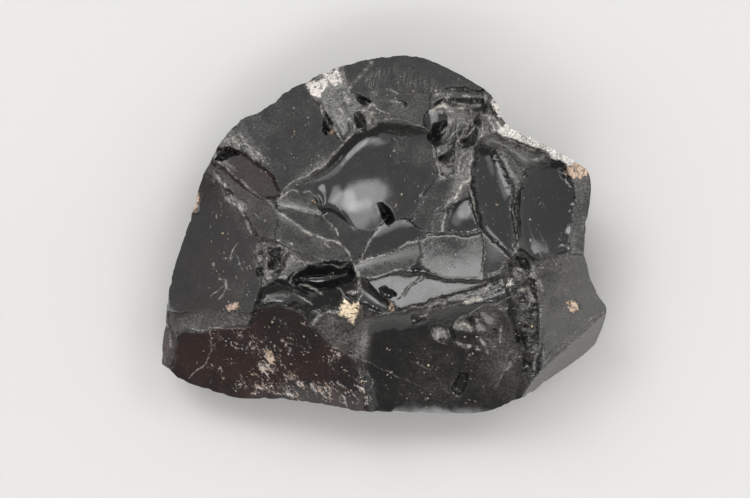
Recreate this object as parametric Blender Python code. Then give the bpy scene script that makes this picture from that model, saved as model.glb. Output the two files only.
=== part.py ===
"""Obsidian chunk: one broken piece of black volcanic glass, lying on a flat fracture face.

The piece starts as a block with the chunk's outline. Every fracture hollow ("scar") is then taken off it by
its own cutter, the way flakes are struck from a core: a cutter has the scar's outline, a dished floor that
follows the chunk's overall form, and walls that lean outwards, so that neighbouring scars meet in sharp ridges.
Units are millimetres until the last step; +Z is up and the resting face lies at Z = 0.
"""
from collections import namedtuple

import bmesh
import bpy
import numpy as np
from mathutils import Matrix, Vector
from mathutils.geometry import delaunay_2d_cdt

MM = 0.001

# Driving dimensions, in millimetres.
BLOCK_TOP = 21.0          # height of the uncut block
CUTTER_REACH = 8.0        # how far a cutter stands out past the block
OUTLINE_OVERLAP = 0.10    # neighbouring scars overlap by this much on each side
WALL_LEAN = 0.30          # how far a scar's wall leans outwards ...
WALL_RISE = 0.90          # ... over this height
MITRE_LIMIT = 2.0         # longest corner of an offset outline, in offsets
SLAB_SIZE = 60.0          # side of the cube that cuts the steep side facet
FLOOR_STEP = 2.4          # spacing of the net that a scar's floor is made of
FLOOR_CLEARANCE = 0.35    # how far the net keeps from the outline, in steps
NET_TOLERANCE = 0.001
TRIANGLES_INSIDE = 1      # the net fills the outline and nothing outside it
DISH_LIMIT = 3.0          # how far up the rim of a long scar's dish may curl

# The glass: its linear base colour, how rough its fracture faces are, and its refractive index.
GLASS_BLACK = (0.008, 0.008, 0.009, 1.0)
GLASS_ROUGHNESS = 0.12
GLASS_INDEX = 1.5

# The chunk's outline seen from above, anticlockwise from the lower left.
OUTLINE = [
    (-25.0, -14.5), (-24.0, -15.2), (-23.0, -16.3), (-21.0, -17.0), (-18.0, -18.0), (-16.5, -18.4),
    (-12.0, -18.4), (-8.0, -18.8), (-5.0, -19.3), (-3.0, -19.8), (3.0, -19.9), (9.0, -20.1),
    (12.0, -19.8), (14.2, -18.7), (16.3, -17.9), (18.0, -16.6), (20.0, -15.2), (22.0, -14.0),
    (24.2, -12.0), (24.6, -10.0), (25.0, -8.3), (24.2, -7.0), (23.2, -5.5), (22.6, -3.5),
    (22.3, -1.5), (22.4, 0.5), (23.1, 4.6), (22.9, 7.0), (22.0, 7.8), (20.0, 8.9), (16.0, 11.0),
    (14.0, 11.8), (13.3, 12.5), (12.6, 14.4), (11.6, 15.9), (10.0, 16.9), (8.0, 18.1), (6.0, 19.1),
    (4.0, 19.9), (2.0, 20.1), (-1.5, 19.7), (-4.6, 18.9), (-6.7, 18.2), (-8.9, 17.0), (-11.0, 16.1),
    (-12.0, 15.0), (-14.2, 13.6), (-15.8, 13.1), (-17.0, 12.0), (-18.6, 10.0), (-19.3, 8.6),
    (-20.5, 6.0), (-21.3, 3.0), (-22.3, 0.0), (-24.0, -5.0), (-24.5, -9.5), (-25.0, -12.5),
]

# Overall form of the upper face: height over the resting plane at places on it, as x, y, z.
FACE_FORM = [
    (-25.0, -14.5, 6.5), (-25.0, -11.0, 7.0), (-24.0, -5.0, 8.0), (-22.3, 0.0, 9.0), (-20.5, 6.0, 10.0),
    (-17.0, 12.2, 10.3), (-11.0, 16.1, 10.8), (-4.6, 18.9, 11.0), (2.0, 20.0, 11.3), (8.0, 18.1, 13.3),
    (11.8, 15.2, 16.8), (16.0, 10.8, 15.8), (22.9, 7.0, 13.2), (22.5, 0.5, 12.4), (24.8, -8.3, 11.0),
    (18.0, -14.3, 11.8), (14.2, -18.9, 8.4), (9.0, -20.2, 7.8), (-1.0, -19.8, 7.6), (-12.0, -18.4, 7.2),
    (-22.0, -16.6, 6.4), (11.0, 13.0, 20.2), (6.0, 10.5, 19.2), (0.0, 4.0, 18.0), (-3.0, 11.0, 16.6),
    (-11.5, 4.6, 15.4), (-15.5, 5.0, 14.0), (-15.0, 8.5, 12.6), (-4.0, -3.0, 16.8), (5.0, -3.0, 18.0),
    (13.5, -4.0, 17.2), (10.0, 3.0, 18.8), (14.7, 4.0, 17.6), (-15.0, -0.7, 14.2), (-14.0, -8.5, 12.6),
    (-8.0, -9.0, 14.2), (-3.0, -10.0, 14.6), (3.0, -8.5, 16.2), (14.0, -7.0, 16.0), (16.0, -15.0, 11.8),
    (6.0, -14.0, 10.8), (18.5, 3.0, 14.6), (17.0, -3.0, 15.6), (-2.0, 14.0, 15.4), (5.2, 15.4, 16.6),
    (-8.0, 14.5, 13.6),
]

# Overall form of the underside: nothing around the resting face, rising to the rim.
UNDER_FORM = [
    (-16.0, -3.0, 0.0), (-14.0, 5.0, 0.0), (-8.0, 10.0, 0.0), (2.0, 12.0, 0.0), (10.0, 8.5, 0.0),
    (15.0, 3.0, 0.0), (15.0, -3.0, 0.0), (11.0, -11.0, 0.0), (1.0, -13.0, 0.0), (-10.0, -12.0, 0.0),
    (-25.0, -14.5, 5.0), (-24.5, -9.0, 6.0), (-23.5, -4.0, 7.0), (-21.3, 3.0, 8.6), (-18.6, 10.0, 8.8),
    (-11.0, 16.1, 9.8), (-4.6, 18.9, 9.8), (2.0, 20.0, 9.6), (8.0, 18.1, 12.4), (12.8, 13.8, 16.0),
    (15.0, 11.4, 15.4), (22.9, 7.0, 12.2), (22.5, 0.5, 11.8), (25.0, -8.3, 10.2), (22.5, -13.6, 3.2),
    (16.3, -17.9, 5.2), (9.0, -20.2, 7.2), (-1.0, -19.8, 7.2), (-12.0, -18.4, 6.6), (-22.0, -16.6, 4.8),
]

# A scar: how far its floor lies under the overall form, how deep its dish is, and its outline.
Scar = namedtuple("Scar", "name drop dish outline")

# Scars of the upper left: the shoulder, the crown at the top edge and the crushed strip between them.
SHOULDER_AND_CROWN = [
    Scar("shoulder", 0.3, 0.5, [
        (-17.4, 13.2), (-14.2, 14.8), (-12.0, 16.2), (-8.9, 18.2), (-8.5, 15.6), (-7.0, 14.0), (-6.0, 12.0),
        (-5.0, 10.2), (-7.0, 7.4), (-9.3, 6.0), (-11.4, 4.8), (-13.2, 7.2), (-15.5, 8.6), (-16.2, 11.0)]),
    Scar("shoulder crust", 0.2, 0.1, [
        (-9.5, 18.4), (-4.6, 20.2), (-4.2, 16.5), (-7.0, 14.8), (-8.5, 15.6)]),
    Scar("crown plate", 0.2, 0.2, [
        (-7.0, 14.8), (-4.2, 16.5), (-2.0, 14.4), (-0.8, 12.8), (-2.0, 12.0), (-3.5, 11.2), (-4.9, 10.3),
        (-6.0, 12.0)]),
    Scar("crown", 0.2, 0.5, [
        (-5.0, 20.4), (-1.5, 21.0), (4.0, 21.0), (8.0, 19.6), (11.6, 17.2), (11.8, 15.6), (9.0, 15.8),
        (7.5, 16.2), (5.5, 15.8), (2.0, 16.2), (-1.0, 16.0), (-2.0, 14.4), (-4.2, 16.5)]),
    Scar("crown step", 0.3, 0.2, [
        (-2.0, 14.4), (-1.0, 16.0), (2.0, 16.2), (5.5, 15.8), (5.0, 14.0), (4.4, 12.2), (0.0, 12.9),
        (-0.8, 12.8)]),
    Scar("brown pit", 1.6, 0.5, [
        (-20.8, 9.2), (-18.0, 9.5), (-16.2, 9.2), (-15.5, 8.6), (-13.2, 7.2), (-11.8, 5.0), (-12.1, 4.2),
        (-13.5, 4.2), (-15.5, 5.6), (-17.0, 7.2), (-18.8, 8.2)]),
    Scar("pit chip", 0.6, 0.1, [
        (-20.8, 10.0), (-17.6, 13.4), (-16.2, 11.0), (-15.5, 8.6), (-16.2, 9.2), (-18.0, 9.5), (-20.4, 9.0)]),
]

# Scars of the left flank, with the long slanting spar above it and the strips at its foot.
FLANK = [
    Scar("spar", 0.1, 0.2, [
        (-20.8, 8.6), (-18.8, 8.2), (-17.0, 7.1), (-15.0, 5.2), (-13.0, 3.9), (-12.0, 3.2), (-11.8, -1.0),
        (-14.0, -0.6), (-15.0, 1.0), (-16.0, 3.0), (-17.5, 5.0), (-19.3, 7.0), (-21.4, 7.4)]),
    Scar("spar toe", 0.1, 0.2, [
        (-12.0, 3.2), (-10.0, 1.5), (-8.0, 0.0), (-6.5, -0.4), (-5.0, -1.0), (-4.0, -1.8), (-3.3, -3.3),
        (-4.2, -2.9), (-6.0, -3.0), (-8.5, -2.4), (-10.5, -1.5), (-11.8, -1.0)]),
    Scar("flank", 0.3, 0.4, [
        (-22.6, 7.4), (-19.3, 7.0), (-17.5, 5.0), (-16.0, 3.0), (-15.0, 1.0), (-14.0, -0.6), (-15.0, -0.8),
        (-19.0, -1.0), (-24.0, -1.0), (-23.4, 3.0)]),
    Scar("low flank", 0.3, 0.6, [
        (-24.0, -0.9), (-19.0, -1.0), (-15.0, -0.7), (-15.0, -2.2), (-14.0, -3.5), (-13.5, -5.8),
        (-14.2, -8.0), (-14.6, -9.0), (-16.0, -8.9), (-21.5, -8.7), (-25.6, -9.2), (-25.4, -5.0)]),
    Scar("flank foot", 0.3, 0.1, [
        (-26.0, -10.6), (-25.4, -9.0), (-21.5, -8.7), (-16.0, -8.8), (-14.5, -9.0), (-15.0, -10.3),
        (-22.0, -10.6)]),
    Scar("left bevel", 0.5, 0.1, [
        (-26.4, -9.4), (-24.0, -9.2), (-23.9, -10.5), (-23.6, -14.0), (-24.5, -16.4), (-27.0, -15.5)]),
]

# Scars of the lower left: the brown foot, and the glassy shells above it.
FOOT_AND_SHELLS = [
    Scar("foot corner", 0.3, 0.2, [
        (-23.9, -10.5), (-19.5, -10.4), (-19.3, -13.0), (-20.0, -14.5), (-22.0, -16.0), (-22.8, -18.0),
        (-25.4, -17.0), (-23.6, -14.0)]),
    Scar("foot", 0.4, 0.5, [
        (-19.5, -10.4), (-15.0, -10.3), (-14.5, -9.0), (-14.0, -8.0), (-10.5, -7.8), (-11.0, -12.0),
        (-12.0, -16.0), (-13.0, -20.0), (-16.5, -20.0), (-22.8, -18.0), (-22.0, -16.0), (-20.0, -14.5),
        (-19.3, -13.0)]),
    Scar("foot right", 0.3, 0.4, [
        (-10.5, -7.8), (-8.0, -10.0), (-6.0, -12.5), (-3.0, -14.0), (-1.0, -17.0), (-1.0, -21.4),
        (-13.0, -20.0), (-12.0, -16.0), (-11.0, -12.0)]),
    Scar("crushed pocket", 0.9, 0.3, [
        (-15.0, -0.8), (-11.8, -1.0), (-10.5, -2.0), (-11.5, -3.5), (-12.5, -5.0), (-13.5, -5.8),
        (-14.0, -3.5), (-15.0, -2.2)]),
    Scar("grey slope", 0.5, 0.2, [
        (-11.8, -1.0), (-10.5, -1.5), (-8.5, -2.4), (-6.0, -3.0), (-8.0, -3.3), (-9.5, -3.8), (-10.5, -5.0),
        (-12.5, -5.0), (-11.5, -3.5), (-10.5, -2.0)]),
    Scar("black shell", 2.0, 0.8, [
        (-10.5, -5.2), (-9.3, -3.9), (-7.5, -3.3), (-3.7, -3.2), (-3.4, -4.8), (-5.0, -5.6), (-7.3, -6.4),
        (-9.5, -5.6)]),
    Scar("second shell", 1.3, 0.4, [
        (-13.7, -6.8), (-13.4, -5.7), (-12.5, -5.0), (-10.5, -5.1), (-9.0, -6.2), (-7.3, -6.6), (-8.2, -7.6),
        (-10.5, -7.8), (-12.5, -7.8), (-14.2, -8.0)]),
    Scar("shell apron", 0.8, 0.2, [
        (-7.3, -6.4), (-5.0, -5.6), (-3.4, -4.8), (-2.8, -7.3), (-4.8, -7.5), (-5.3, -8.5), (-8.0, -10.0),
        (-10.0, -7.7), (-8.2, -7.4)]),
    Scar("cream bed", 0.8, 0.2, [
        (-5.3, -8.5), (-4.8, -7.5), (-2.8, -7.3), (-2.7, -8.5), (-3.0, -10.0), (-3.2, -12.0), (-3.0, -14.0),
        (-6.0, -12.5), (-8.0, -10.0)]),
]

# Scars of the middle: the glossy dish, the plates around it and the bright band under them.
MIDDLE = [
    Scar("centre dish", 0.9, 1.3, [
        (-10.2, 5.4), (-9.0, 5.9), (-7.0, 7.3), (-5.5, 8.8), (-4.5, 9.8), (-3.0, 11.0), (-0.8, 12.4),
        (2.5, 12.3), (4.2, 12.1), (5.3, 10.5), (5.4, 8.3), (1.8, 8.1), (0.8, 6.8), (-0.4, 5.0), (0.3, 2.0),
        (-1.0, 0.5), (-3.4, 0.9), (-4.0, 1.8), (-5.3, 3.3), (-6.8, 2.3), (-7.0, 3.5), (-8.0, 4.9)]),
    Scar("dish plate", 0.4, 0.2, [
        (0.8, 6.8), (1.8, 8.1), (5.4, 8.3), (6.0, 6.4), (5.0, 5.5), (4.3, 4.5), (3.7, 3.2), (3.0, 1.5),
        (1.0, 1.7), (0.3, 2.0), (-0.4, 5.0)]),
    Scar("under plate", 0.3, 0.2, [
        (0.3, 2.0), (-1.0, 0.5), (-2.0, -1.0), (-2.7, -3.0), (0.0, -2.0), (2.0, -1.2), (4.0, -0.5),
        (5.0, 0.0), (3.5, 1.0), (3.0, 1.5), (1.0, 1.7)]),
    Scar("olive chip", 0.1, 0.1, [
        (-12.0, 4.0), (-10.2, 5.4), (-8.0, 4.9), (-7.0, 3.5), (-6.8, 2.2), (-9.0, 2.7), (-11.5, 3.2)]),
    Scar("triangle", 0.2, 0.1, [
        (-12.0, 3.2), (-9.0, 2.7), (-6.8, 2.1), (-5.2, 0.0), (-4.3, -1.3), (-5.0, -1.0), (-6.5, -0.5),
        (-8.0, 0.0), (-10.0, 1.5)]),
    Scar("wedge", 0.3, 0.2, [
        (-6.8, 2.2), (-5.3, 3.3), (-4.0, 1.8), (-3.4, 0.9), (-1.0, 0.5), (-2.0, -1.0), (-2.7, -3.0),
        (-3.3, -3.3), (-4.0, -1.8), (-5.2, 0.0)]),
    Scar("shelf", 0.4, 0.2, [
        (-3.3, -3.3), (-2.7, -3.0), (0.0, -2.1), (2.0, -1.3), (4.0, -0.6), (4.2, -2.5), (3.0, -3.5),
        (1.0, -4.1), (-1.0, -4.7), (-3.4, -4.8)]),
    Scar("round plate", 0.3, 0.2, [
        (4.0, -0.6), (5.0, 0.0), (7.0, 0.2), (9.0, -0.2), (10.8, 0.3), (11.1, -2.0), (11.1, -3.0),
        (10.7, -4.7), (8.0, -4.7), (6.0, -4.4), (4.3, -4.2), (3.0, -3.5), (4.2, -2.5)]),
    Scar("plate wing", 0.3, 0.1, [
        (10.8, 0.4), (13.8, -2.7), (13.0, -4.0), (11.5, -4.9), (10.7, -4.7), (11.1, -3.0)]),
    Scar("lens", 0.5, 0.3, [
        (-1.0, -4.9), (1.0, -4.2), (4.3, -4.3), (6.0, -4.5), (8.5, -4.8), (11.5, -4.9), (11.0, -5.6),
        (8.0, -6.5), (5.0, -7.2), (3.0, -8.0), (1.0, -6.6), (-0.5, -5.7)]),
    Scar("dark nook", 1.0, 0.3, [
        (-3.4, -4.8), (-1.0, -4.9), (-0.5, -5.7), (1.0, -6.6), (3.0, -8.0), (0.5, -8.2), (-2.8, -7.4)]),
    Scar("lip", 0.3, 0.1, [
        (3.0, -8.0), (5.0, -7.2), (8.0, -6.5), (11.0, -5.6), (12.0, -5.0), (13.0, -4.0), (14.3, -5.0),
        (14.0, -6.5), (9.0, -7.5), (5.0, -8.7), (2.0, -9.4), (-1.0, -9.6), (-3.0, -10.0), (-2.7, -7.6),
        (0.5, -8.2)]),
]

# Scars of the lower right: the wide bowl, the crushed valley beside it and the spur.
BOWL_AND_SPUR = [
    Scar("bowl", 0.4, 1.8, [
        (-3.0, -10.0), (-1.0, -9.6), (2.0, -9.4), (5.0, -8.6), (9.0, -7.4), (14.0, -6.5), (15.0, -9.0),
        (15.5, -12.0), (16.0, -15.0), (15.5, -21.0), (9.0, -22.0), (-1.0, -21.5), (-1.0, -17.0),
        (-3.0, -14.0), (-3.2, -12.0)]),
    Scar("valley", 1.4, 0.4, [
        (14.3, -2.9), (15.3, -2.1), (16.6, -3.1), (16.4, -4.2), (17.0, -6.5), (16.7, -10.0), (17.2, -13.0),
        (16.4, -15.8), (15.5, -12.0), (15.0, -9.0), (14.0, -6.5), (13.0, -4.0)]),
    Scar("spur", 0.2, 0.3, [
        (16.4, -4.2), (16.6, -3.1), (20.7, -2.1), (23.6, -1.5), (27.5, -8.5), (25.2, -8.2), (17.8, -15.0),
        (16.4, -15.2), (17.2, -13.0), (16.7, -10.0), (17.0, -6.5)]),
]

# Scars of the right: the blade, the hollow beside it, the crest along the edge and the crushed hub.
RIGHT = [
    Scar("right hollow", 0.4, 1.1, [
        (15.8, 7.0), (17.0, 8.0), (18.5, 8.7), (20.0, 8.0), (20.5, 7.0), (21.2, 6.0), (21.3, 3.0),
        (21.0, 0.0), (20.7, -2.0), (17.0, -3.0), (15.3, -2.0), (14.7, 0.0), (14.7, 4.8)]),
    Scar("rim strip", 0.2, 0.0, [
        (21.2, 6.0), (20.5, 7.4), (23.4, 8.0), (24.8, 6.0), (24.2, 0.0), (24.0, -1.6), (20.7, -2.0),
        (21.0, 0.0), (21.3, 3.0)]),
    Scar("web", 0.6, 0.4, [
        (11.0, 11.0), (12.8, 11.2), (14.0, 10.4), (16.0, 9.8), (18.5, 8.8), (17.0, 8.0), (15.8, 7.1),
        (15.0, 7.6), (13.8, 9.0), (12.8, 9.8), (11.0, 10.0)]),
    Scar("crest", 0.0, 0.0, [
        (12.0, 12.8), (14.0, 13.2), (20.0, 10.4), (22.8, 9.2), (24.2, 8.0), (20.5, 7.5), (18.5, 8.8),
        (16.0, 9.8), (14.0, 10.4), (12.8, 11.3)]),
    Scar("blade", 0.3, 0.5, [
        (10.0, 9.6), (12.0, 9.7), (13.3, 8.0), (14.2, 6.0), (14.7, 4.8), (14.4, 2.5), (14.5, 0.0),
        (15.0, -2.0), (14.2, -3.0), (12.5, -1.3), (10.7, 0.5), (10.0, 3.0), (9.5, 6.0), (9.7, 8.0)]),
    Scar("blade rim", 0.1, 0.0, [
        (12.3, 9.8), (13.8, 9.0), (15.0, 7.6), (15.8, 7.1), (14.7, 4.8), (14.2, 6.0), (13.3, 8.0)]),
    Scar("sail", 0.6, 0.3, [
        (8.5, 4.2), (9.4, 4.0), (9.9, 2.5), (10.6, 0.6), (9.0, 0.0), (7.0, 0.4), (6.9, 2.8)]),
    Scar("dusty strip", 0.2, 0.1, [
        (5.0, 5.5), (6.0, 6.4), (8.0, 6.5), (9.4, 6.0), (9.4, 4.0), (8.5, 4.2), (6.9, 2.8), (6.9, 0.4),
        (5.8, 0.1), (5.0, 0.0), (3.0, 1.4), (3.7, 3.2), (4.4, 4.5)]),
    Scar("hub flat", 0.2, 0.1, [
        (5.4, 9.9), (7.5, 9.9), (9.9, 9.6), (9.6, 8.0), (9.4, 6.2), (8.3, 6.4), (6.0, 6.5), (5.4, 8.3)]),
    Scar("hub hollow", 0.8, 0.2, [
        (4.4, 12.2), (5.0, 14.0), (6.8, 13.6), (6.6, 11.6), (5.3, 10.6)]),
    Scar("hub streak", 0.2, 0.1, [
        (6.8, 13.6), (8.0, 13.2), (7.5, 10.4), (7.4, 9.9), (5.4, 9.9), (5.3, 10.6), (6.6, 11.6)]),
    Scar("hub step", 1.1, 0.1, [
        (5.0, 14.0), (5.5, 15.9), (7.5, 16.3), (9.0, 15.9), (11.8, 15.9), (10.4, 14.2), (8.0, 13.2),
        (6.8, 13.6)]),
    Scar("hub top", 0.0, 0.1, [
        (8.0, 13.2), (10.4, 14.2), (12.6, 15.6), (14.0, 12.4), (12.8, 11.3), (11.0, 11.0), (10.4, 9.8),
        (9.9, 9.6), (7.4, 9.9)]),
]

# The steep side facet at the lower right, as three places it passes through.
CHEEK_PLACES = [(25.4, -7.6, 11.8), (17.8, -14.7, 11.8), (20.6, -15.8, 3.6)]

# Scars of the underside, around the resting face.
UNDER = [
    Scar("under left", 0.0, 0.5, [
        (-14.0, 5.0), (-16.0, -3.0), (-15.0, -8.0), (-27.0, -11.0), (-26.0, 0.0), (-22.0, 8.5)]),
    Scar("under shoulder", 0.0, 0.4, [
        (-14.0, 5.0), (-8.0, 10.0), (-10.0, 19.0), (-16.0, 15.5), (-22.0, 8.5)]),
    Scar("under crown", 0.0, 0.5, [
        (-8.0, 10.0), (2.0, 12.0), (4.0, 22.0), (-5.0, 21.0), (-10.0, 19.0)]),
    Scar("under crown right", 0.0, 0.4, [
        (2.0, 12.0), (10.0, 8.5), (11.5, 15.0), (14.0, 17.0), (4.0, 22.0)]),
    Scar("under notch", 0.0, 0.3, [
        (10.0, 8.5), (13.0, 6.0), (19.0, 12.0), (14.0, 17.0), (11.5, 15.0)]),
    Scar("under crest", 0.0, 0.4, [
        (13.0, 6.0), (15.0, 3.0), (25.0, 5.0), (25.5, 9.0), (19.0, 12.0)]),
    Scar("under right", 0.0, 0.5, [
        (15.0, 3.0), (15.0, -3.0), (24.0, -4.0), (25.0, 5.0)]),
    Scar("under spur", 0.0, 0.3, [
        (15.0, -3.0), (13.5, -6.5), (25.2, -10.5), (27.5, -8.0), (24.0, -4.0)]),
    Scar("under cheek", 0.0, 0.2, [
        (13.5, -6.5), (11.0, -11.0), (14.5, -21.0), (26.0, -15.0), (25.2, -10.5)]),
    Scar("under bowl", 0.0, 0.4, [
        (11.0, -11.0), (1.0, -13.0), (-1.0, -22.0), (14.5, -21.0)]),
    Scar("under foot", 0.0, 0.4, [
        (1.0, -13.0), (-10.0, -12.0), (-14.0, -21.0), (-1.0, -22.0)]),
    Scar("under toe", 0.0, 0.4, [
        (-10.0, -12.0), (-15.0, -8.0), (-27.0, -11.0), (-27.0, -17.0), (-14.0, -21.0)]),
]


def form_height(form, places):
    """Height of an overall form at the given places: a sheet stretched through the form's own places."""
    known = np.array(form, float)
    corners = known[:, :2]
    count = len(known)
    gaps = np.linalg.norm(corners[:, None] - corners[None], axis=2)
    level = np.c_[np.ones(count), corners]
    system = np.block([[gaps, level], [level.T, np.zeros((3, 3))]])
    weights = np.linalg.solve(system, np.r_[known[:, 2], np.zeros(3)])
    reach = np.linalg.norm(places[:, None] - corners[None], axis=2)
    return reach @ weights[:count] + np.c_[np.ones(len(places)), places] @ weights[count:]


def scar_floor(scar, form, side):
    """Return a function of places that gives the scar's floor: a levelled plane with a dish in it.

    side is +1 for a scar cut from above and -1 for one cut from below.
    """
    outline = np.array(scar.outline, float)
    middle = outline.mean(axis=0)
    arms = outline - middle
    level = np.c_[np.ones(len(arms)), arms]
    plane = np.linalg.lstsq(level, form_height(form, outline), rcond=None)[0]
    spread = np.linalg.inv(arms.T @ arms / len(arms)) / 2.0

    def floor(places):
        offsets = places - middle
        span = np.einsum("ij,jk,ik->i", offsets, spread, offsets)
        bowl = scar.dish * (1.0 - np.minimum(span, DISH_LIMIT))
        return np.c_[np.ones(len(places)), offsets] @ plane - side * (scar.drop + bowl)

    return floor


def widened(outline, distance):
    """Offset an outline outwards, with mitred corners."""
    area = np.sum(outline[:, 0] * np.roll(outline[:, 1], -1) - outline[:, 1] * np.roll(outline[:, 0], -1))
    edges = np.roll(outline, -1, axis=0) - outline
    normals = np.c_[edges[:, 1], -edges[:, 0]] * np.sign(area)
    normals /= np.linalg.norm(normals, axis=1, keepdims=True)
    before = np.roll(normals, 1, axis=0)
    share = 1.0 + np.sum(normals * before, axis=1, keepdims=True)
    return outline + distance * (normals + before) / np.maximum(share, 2.0 / MITRE_LIMIT)


def stepped(outline, step):
    """Add places along an outline's long edges, so that none is longer than the step."""
    places = []
    for here, there in zip(outline, np.roll(outline, -1, axis=0)):
        count = int(np.ceil(np.linalg.norm(there - here) / step))
        places += [here + (there - here) * i / count for i in range(count)]
    return np.array(places)


def inner_places(outline, step):
    """Places on a square net that lie inside an outline and well clear of it."""
    low = np.floor(outline.min(axis=0) / step).astype(int)
    high = np.ceil(outline.max(axis=0) / step).astype(int)
    places = []
    for column in range(low[0], high[0] + 1):
        for row in range(low[1], high[1] + 1):
            place = np.array((column, row)) * step
            edges = np.roll(outline, -1, axis=0) - outline
            arms = place - outline
            along = np.clip(np.sum(arms * edges, axis=1) / np.sum(edges * edges, axis=1), 0.0, 1.0)
            nearest = np.linalg.norm(arms - along[:, None] * edges, axis=1).min()
            turns = np.arctan2(arms[:, 1], arms[:, 0])
            swept = np.angle(np.exp(1j * (np.roll(turns, -1) - turns))).sum()
            if nearest > FLOOR_CLEARANCE * step and abs(swept) > np.pi:
                places.append(place)
    return places


def add_rings(mesh, rings):
    """Join closed rings of vertices into bands."""
    for inner, outer in zip(rings[:-1], rings[1:]):
        for i in range(len(inner)):
            j = (i + 1) % len(inner)
            mesh.faces.new((inner[i], inner[j], outer[j], outer[i]))


def add_ring(mesh, places, heights):
    """Add a ring of vertices at the given places and heights."""
    heights = np.broadcast_to(heights, len(places))
    return [mesh.verts.new(place * MM) for place in np.c_[places, heights]]


def new_object(name, mesh, collection, material):
    """Finish a bmesh as a named object with flat, outward faces."""
    bmesh.ops.triangulate(mesh, faces=mesh.faces[:])
    bmesh.ops.recalc_face_normals(mesh, faces=mesh.faces[:])
    data = bpy.data.meshes.new(name)
    mesh.to_mesh(data)
    mesh.free()
    data.materials.append(material)
    thing = bpy.data.objects.new(name, data)
    collection.objects.link(thing)
    return thing


def cutter_object(name, mesh, collection, material):
    """Finish a bmesh as a cutter that is only seen as wires."""
    cutter = new_object(name + " cutter", mesh, collection, material)
    cutter.hide_render = True
    cutter.display_type = "WIRE"
    return cutter


def scar_cutter(scar, form, side, collection, material):
    """Build the cutter of one scar: a dished floor, leaning walls and a flat back."""
    floor = scar_floor(scar, form, side)
    outline = stepped(widened(np.array(scar.outline, float), OUTLINE_OVERLAP), FLOOR_STEP)
    places = np.array(list(outline) + inner_places(outline, FLOOR_STEP))
    rim = [(i, (i + 1) % len(outline)) for i in range(len(outline))]
    net = delaunay_2d_cdt([Vector(place) for place in places], rim, [], TRIANGLES_INSIDE, NET_TOLERANCE)
    mesh = bmesh.new()
    low = add_ring(mesh, places, floor(places))
    for corners in net[2]:
        mesh.faces.new([low[net[3][corner][0]] for corner in corners])
    leaning = widened(outline, WALL_LEAN)
    middle = add_ring(mesh, leaning, floor(outline) + side * WALL_RISE)
    back = add_ring(mesh, leaning, BLOCK_TOP + CUTTER_REACH if side > 0 else -CUTTER_REACH)
    add_rings(mesh, [low[:len(outline)], middle, back])
    mesh.faces.new(back)
    return cutter_object(scar.name, mesh, collection, material)


def cheek_cutter(collection, material):
    """Build the slab that takes off the steep side facet."""
    places = np.array(CHEEK_PLACES)
    along = places[1] - places[0]
    along /= np.linalg.norm(along)
    outward = np.cross(places[1] - places[0], places[2] - places[0])
    outward *= np.sign(outward[2]) / np.linalg.norm(outward)
    turn = Matrix((along, np.cross(outward, along), outward)).transposed().to_4x4()
    centre = places.mean(axis=0) + outward * SLAB_SIZE / 2.0
    mesh = bmesh.new()
    bmesh.ops.create_cube(mesh, size=SLAB_SIZE * MM, matrix=Matrix.Translation(centre * MM) @ turn)
    return cutter_object("cheek", mesh, collection, material)


def obsidian_block(collection, material):
    """Build the uncut block: the outline drawn up from the resting plane."""
    outline = np.array(OUTLINE, float)
    mesh = bmesh.new()
    ends = [add_ring(mesh, outline, height) for height in (0.0, BLOCK_TOP)]
    add_rings(mesh, ends)
    for end in ends:
        mesh.faces.new(end)
    return new_object("obsidian_chunk", mesh, collection, material)


def glass_material():
    """Black volcanic glass."""
    material = bpy.data.materials.new("volcanic glass")
    material.use_nodes = True
    shader = material.node_tree.nodes["Principled BSDF"]
    shader.inputs["Base Color"].default_value = GLASS_BLACK
    shader.inputs["Roughness"].default_value = GLASS_ROUGHNESS
    shader.inputs["IOR"].default_value = GLASS_INDEX
    return material


def cut_away(block, cutter):
    """Take one cutter off the block."""
    cut = block.modifiers.new(cutter.name, "BOOLEAN")
    cut.operation = "DIFFERENCE"
    cut.solver = "EXACT"
    cut.object = cutter


def main():
    for thing in list(bpy.data.objects):
        bpy.data.objects.remove(thing)
    parts = bpy.data.collections.new("parts")
    cutters = bpy.data.collections.new("cutters")
    for collection in (parts, cutters):
        bpy.context.scene.collection.children.link(collection)
    glass = glass_material()
    chunk = obsidian_block(parts, glass)
    for scar in SHOULDER_AND_CROWN + FLANK + FOOT_AND_SHELLS + MIDDLE + BOWL_AND_SPUR + RIGHT:
        cut_away(chunk, scar_cutter(scar, FACE_FORM, 1, cutters, glass))
    cut_away(chunk, cheek_cutter(cutters, glass))
    for scar in UNDER:
        cut_away(chunk, scar_cutter(scar, UNDER_FORM, -1, cutters, glass))


main()
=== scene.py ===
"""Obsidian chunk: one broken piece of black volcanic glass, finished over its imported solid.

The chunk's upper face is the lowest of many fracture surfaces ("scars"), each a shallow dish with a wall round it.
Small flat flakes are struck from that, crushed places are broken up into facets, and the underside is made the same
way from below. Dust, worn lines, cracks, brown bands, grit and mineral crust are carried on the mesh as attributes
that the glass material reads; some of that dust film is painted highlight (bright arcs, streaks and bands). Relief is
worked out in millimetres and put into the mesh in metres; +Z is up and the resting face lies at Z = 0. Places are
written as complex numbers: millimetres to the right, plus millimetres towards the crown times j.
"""
from collections import namedtuple

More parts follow.
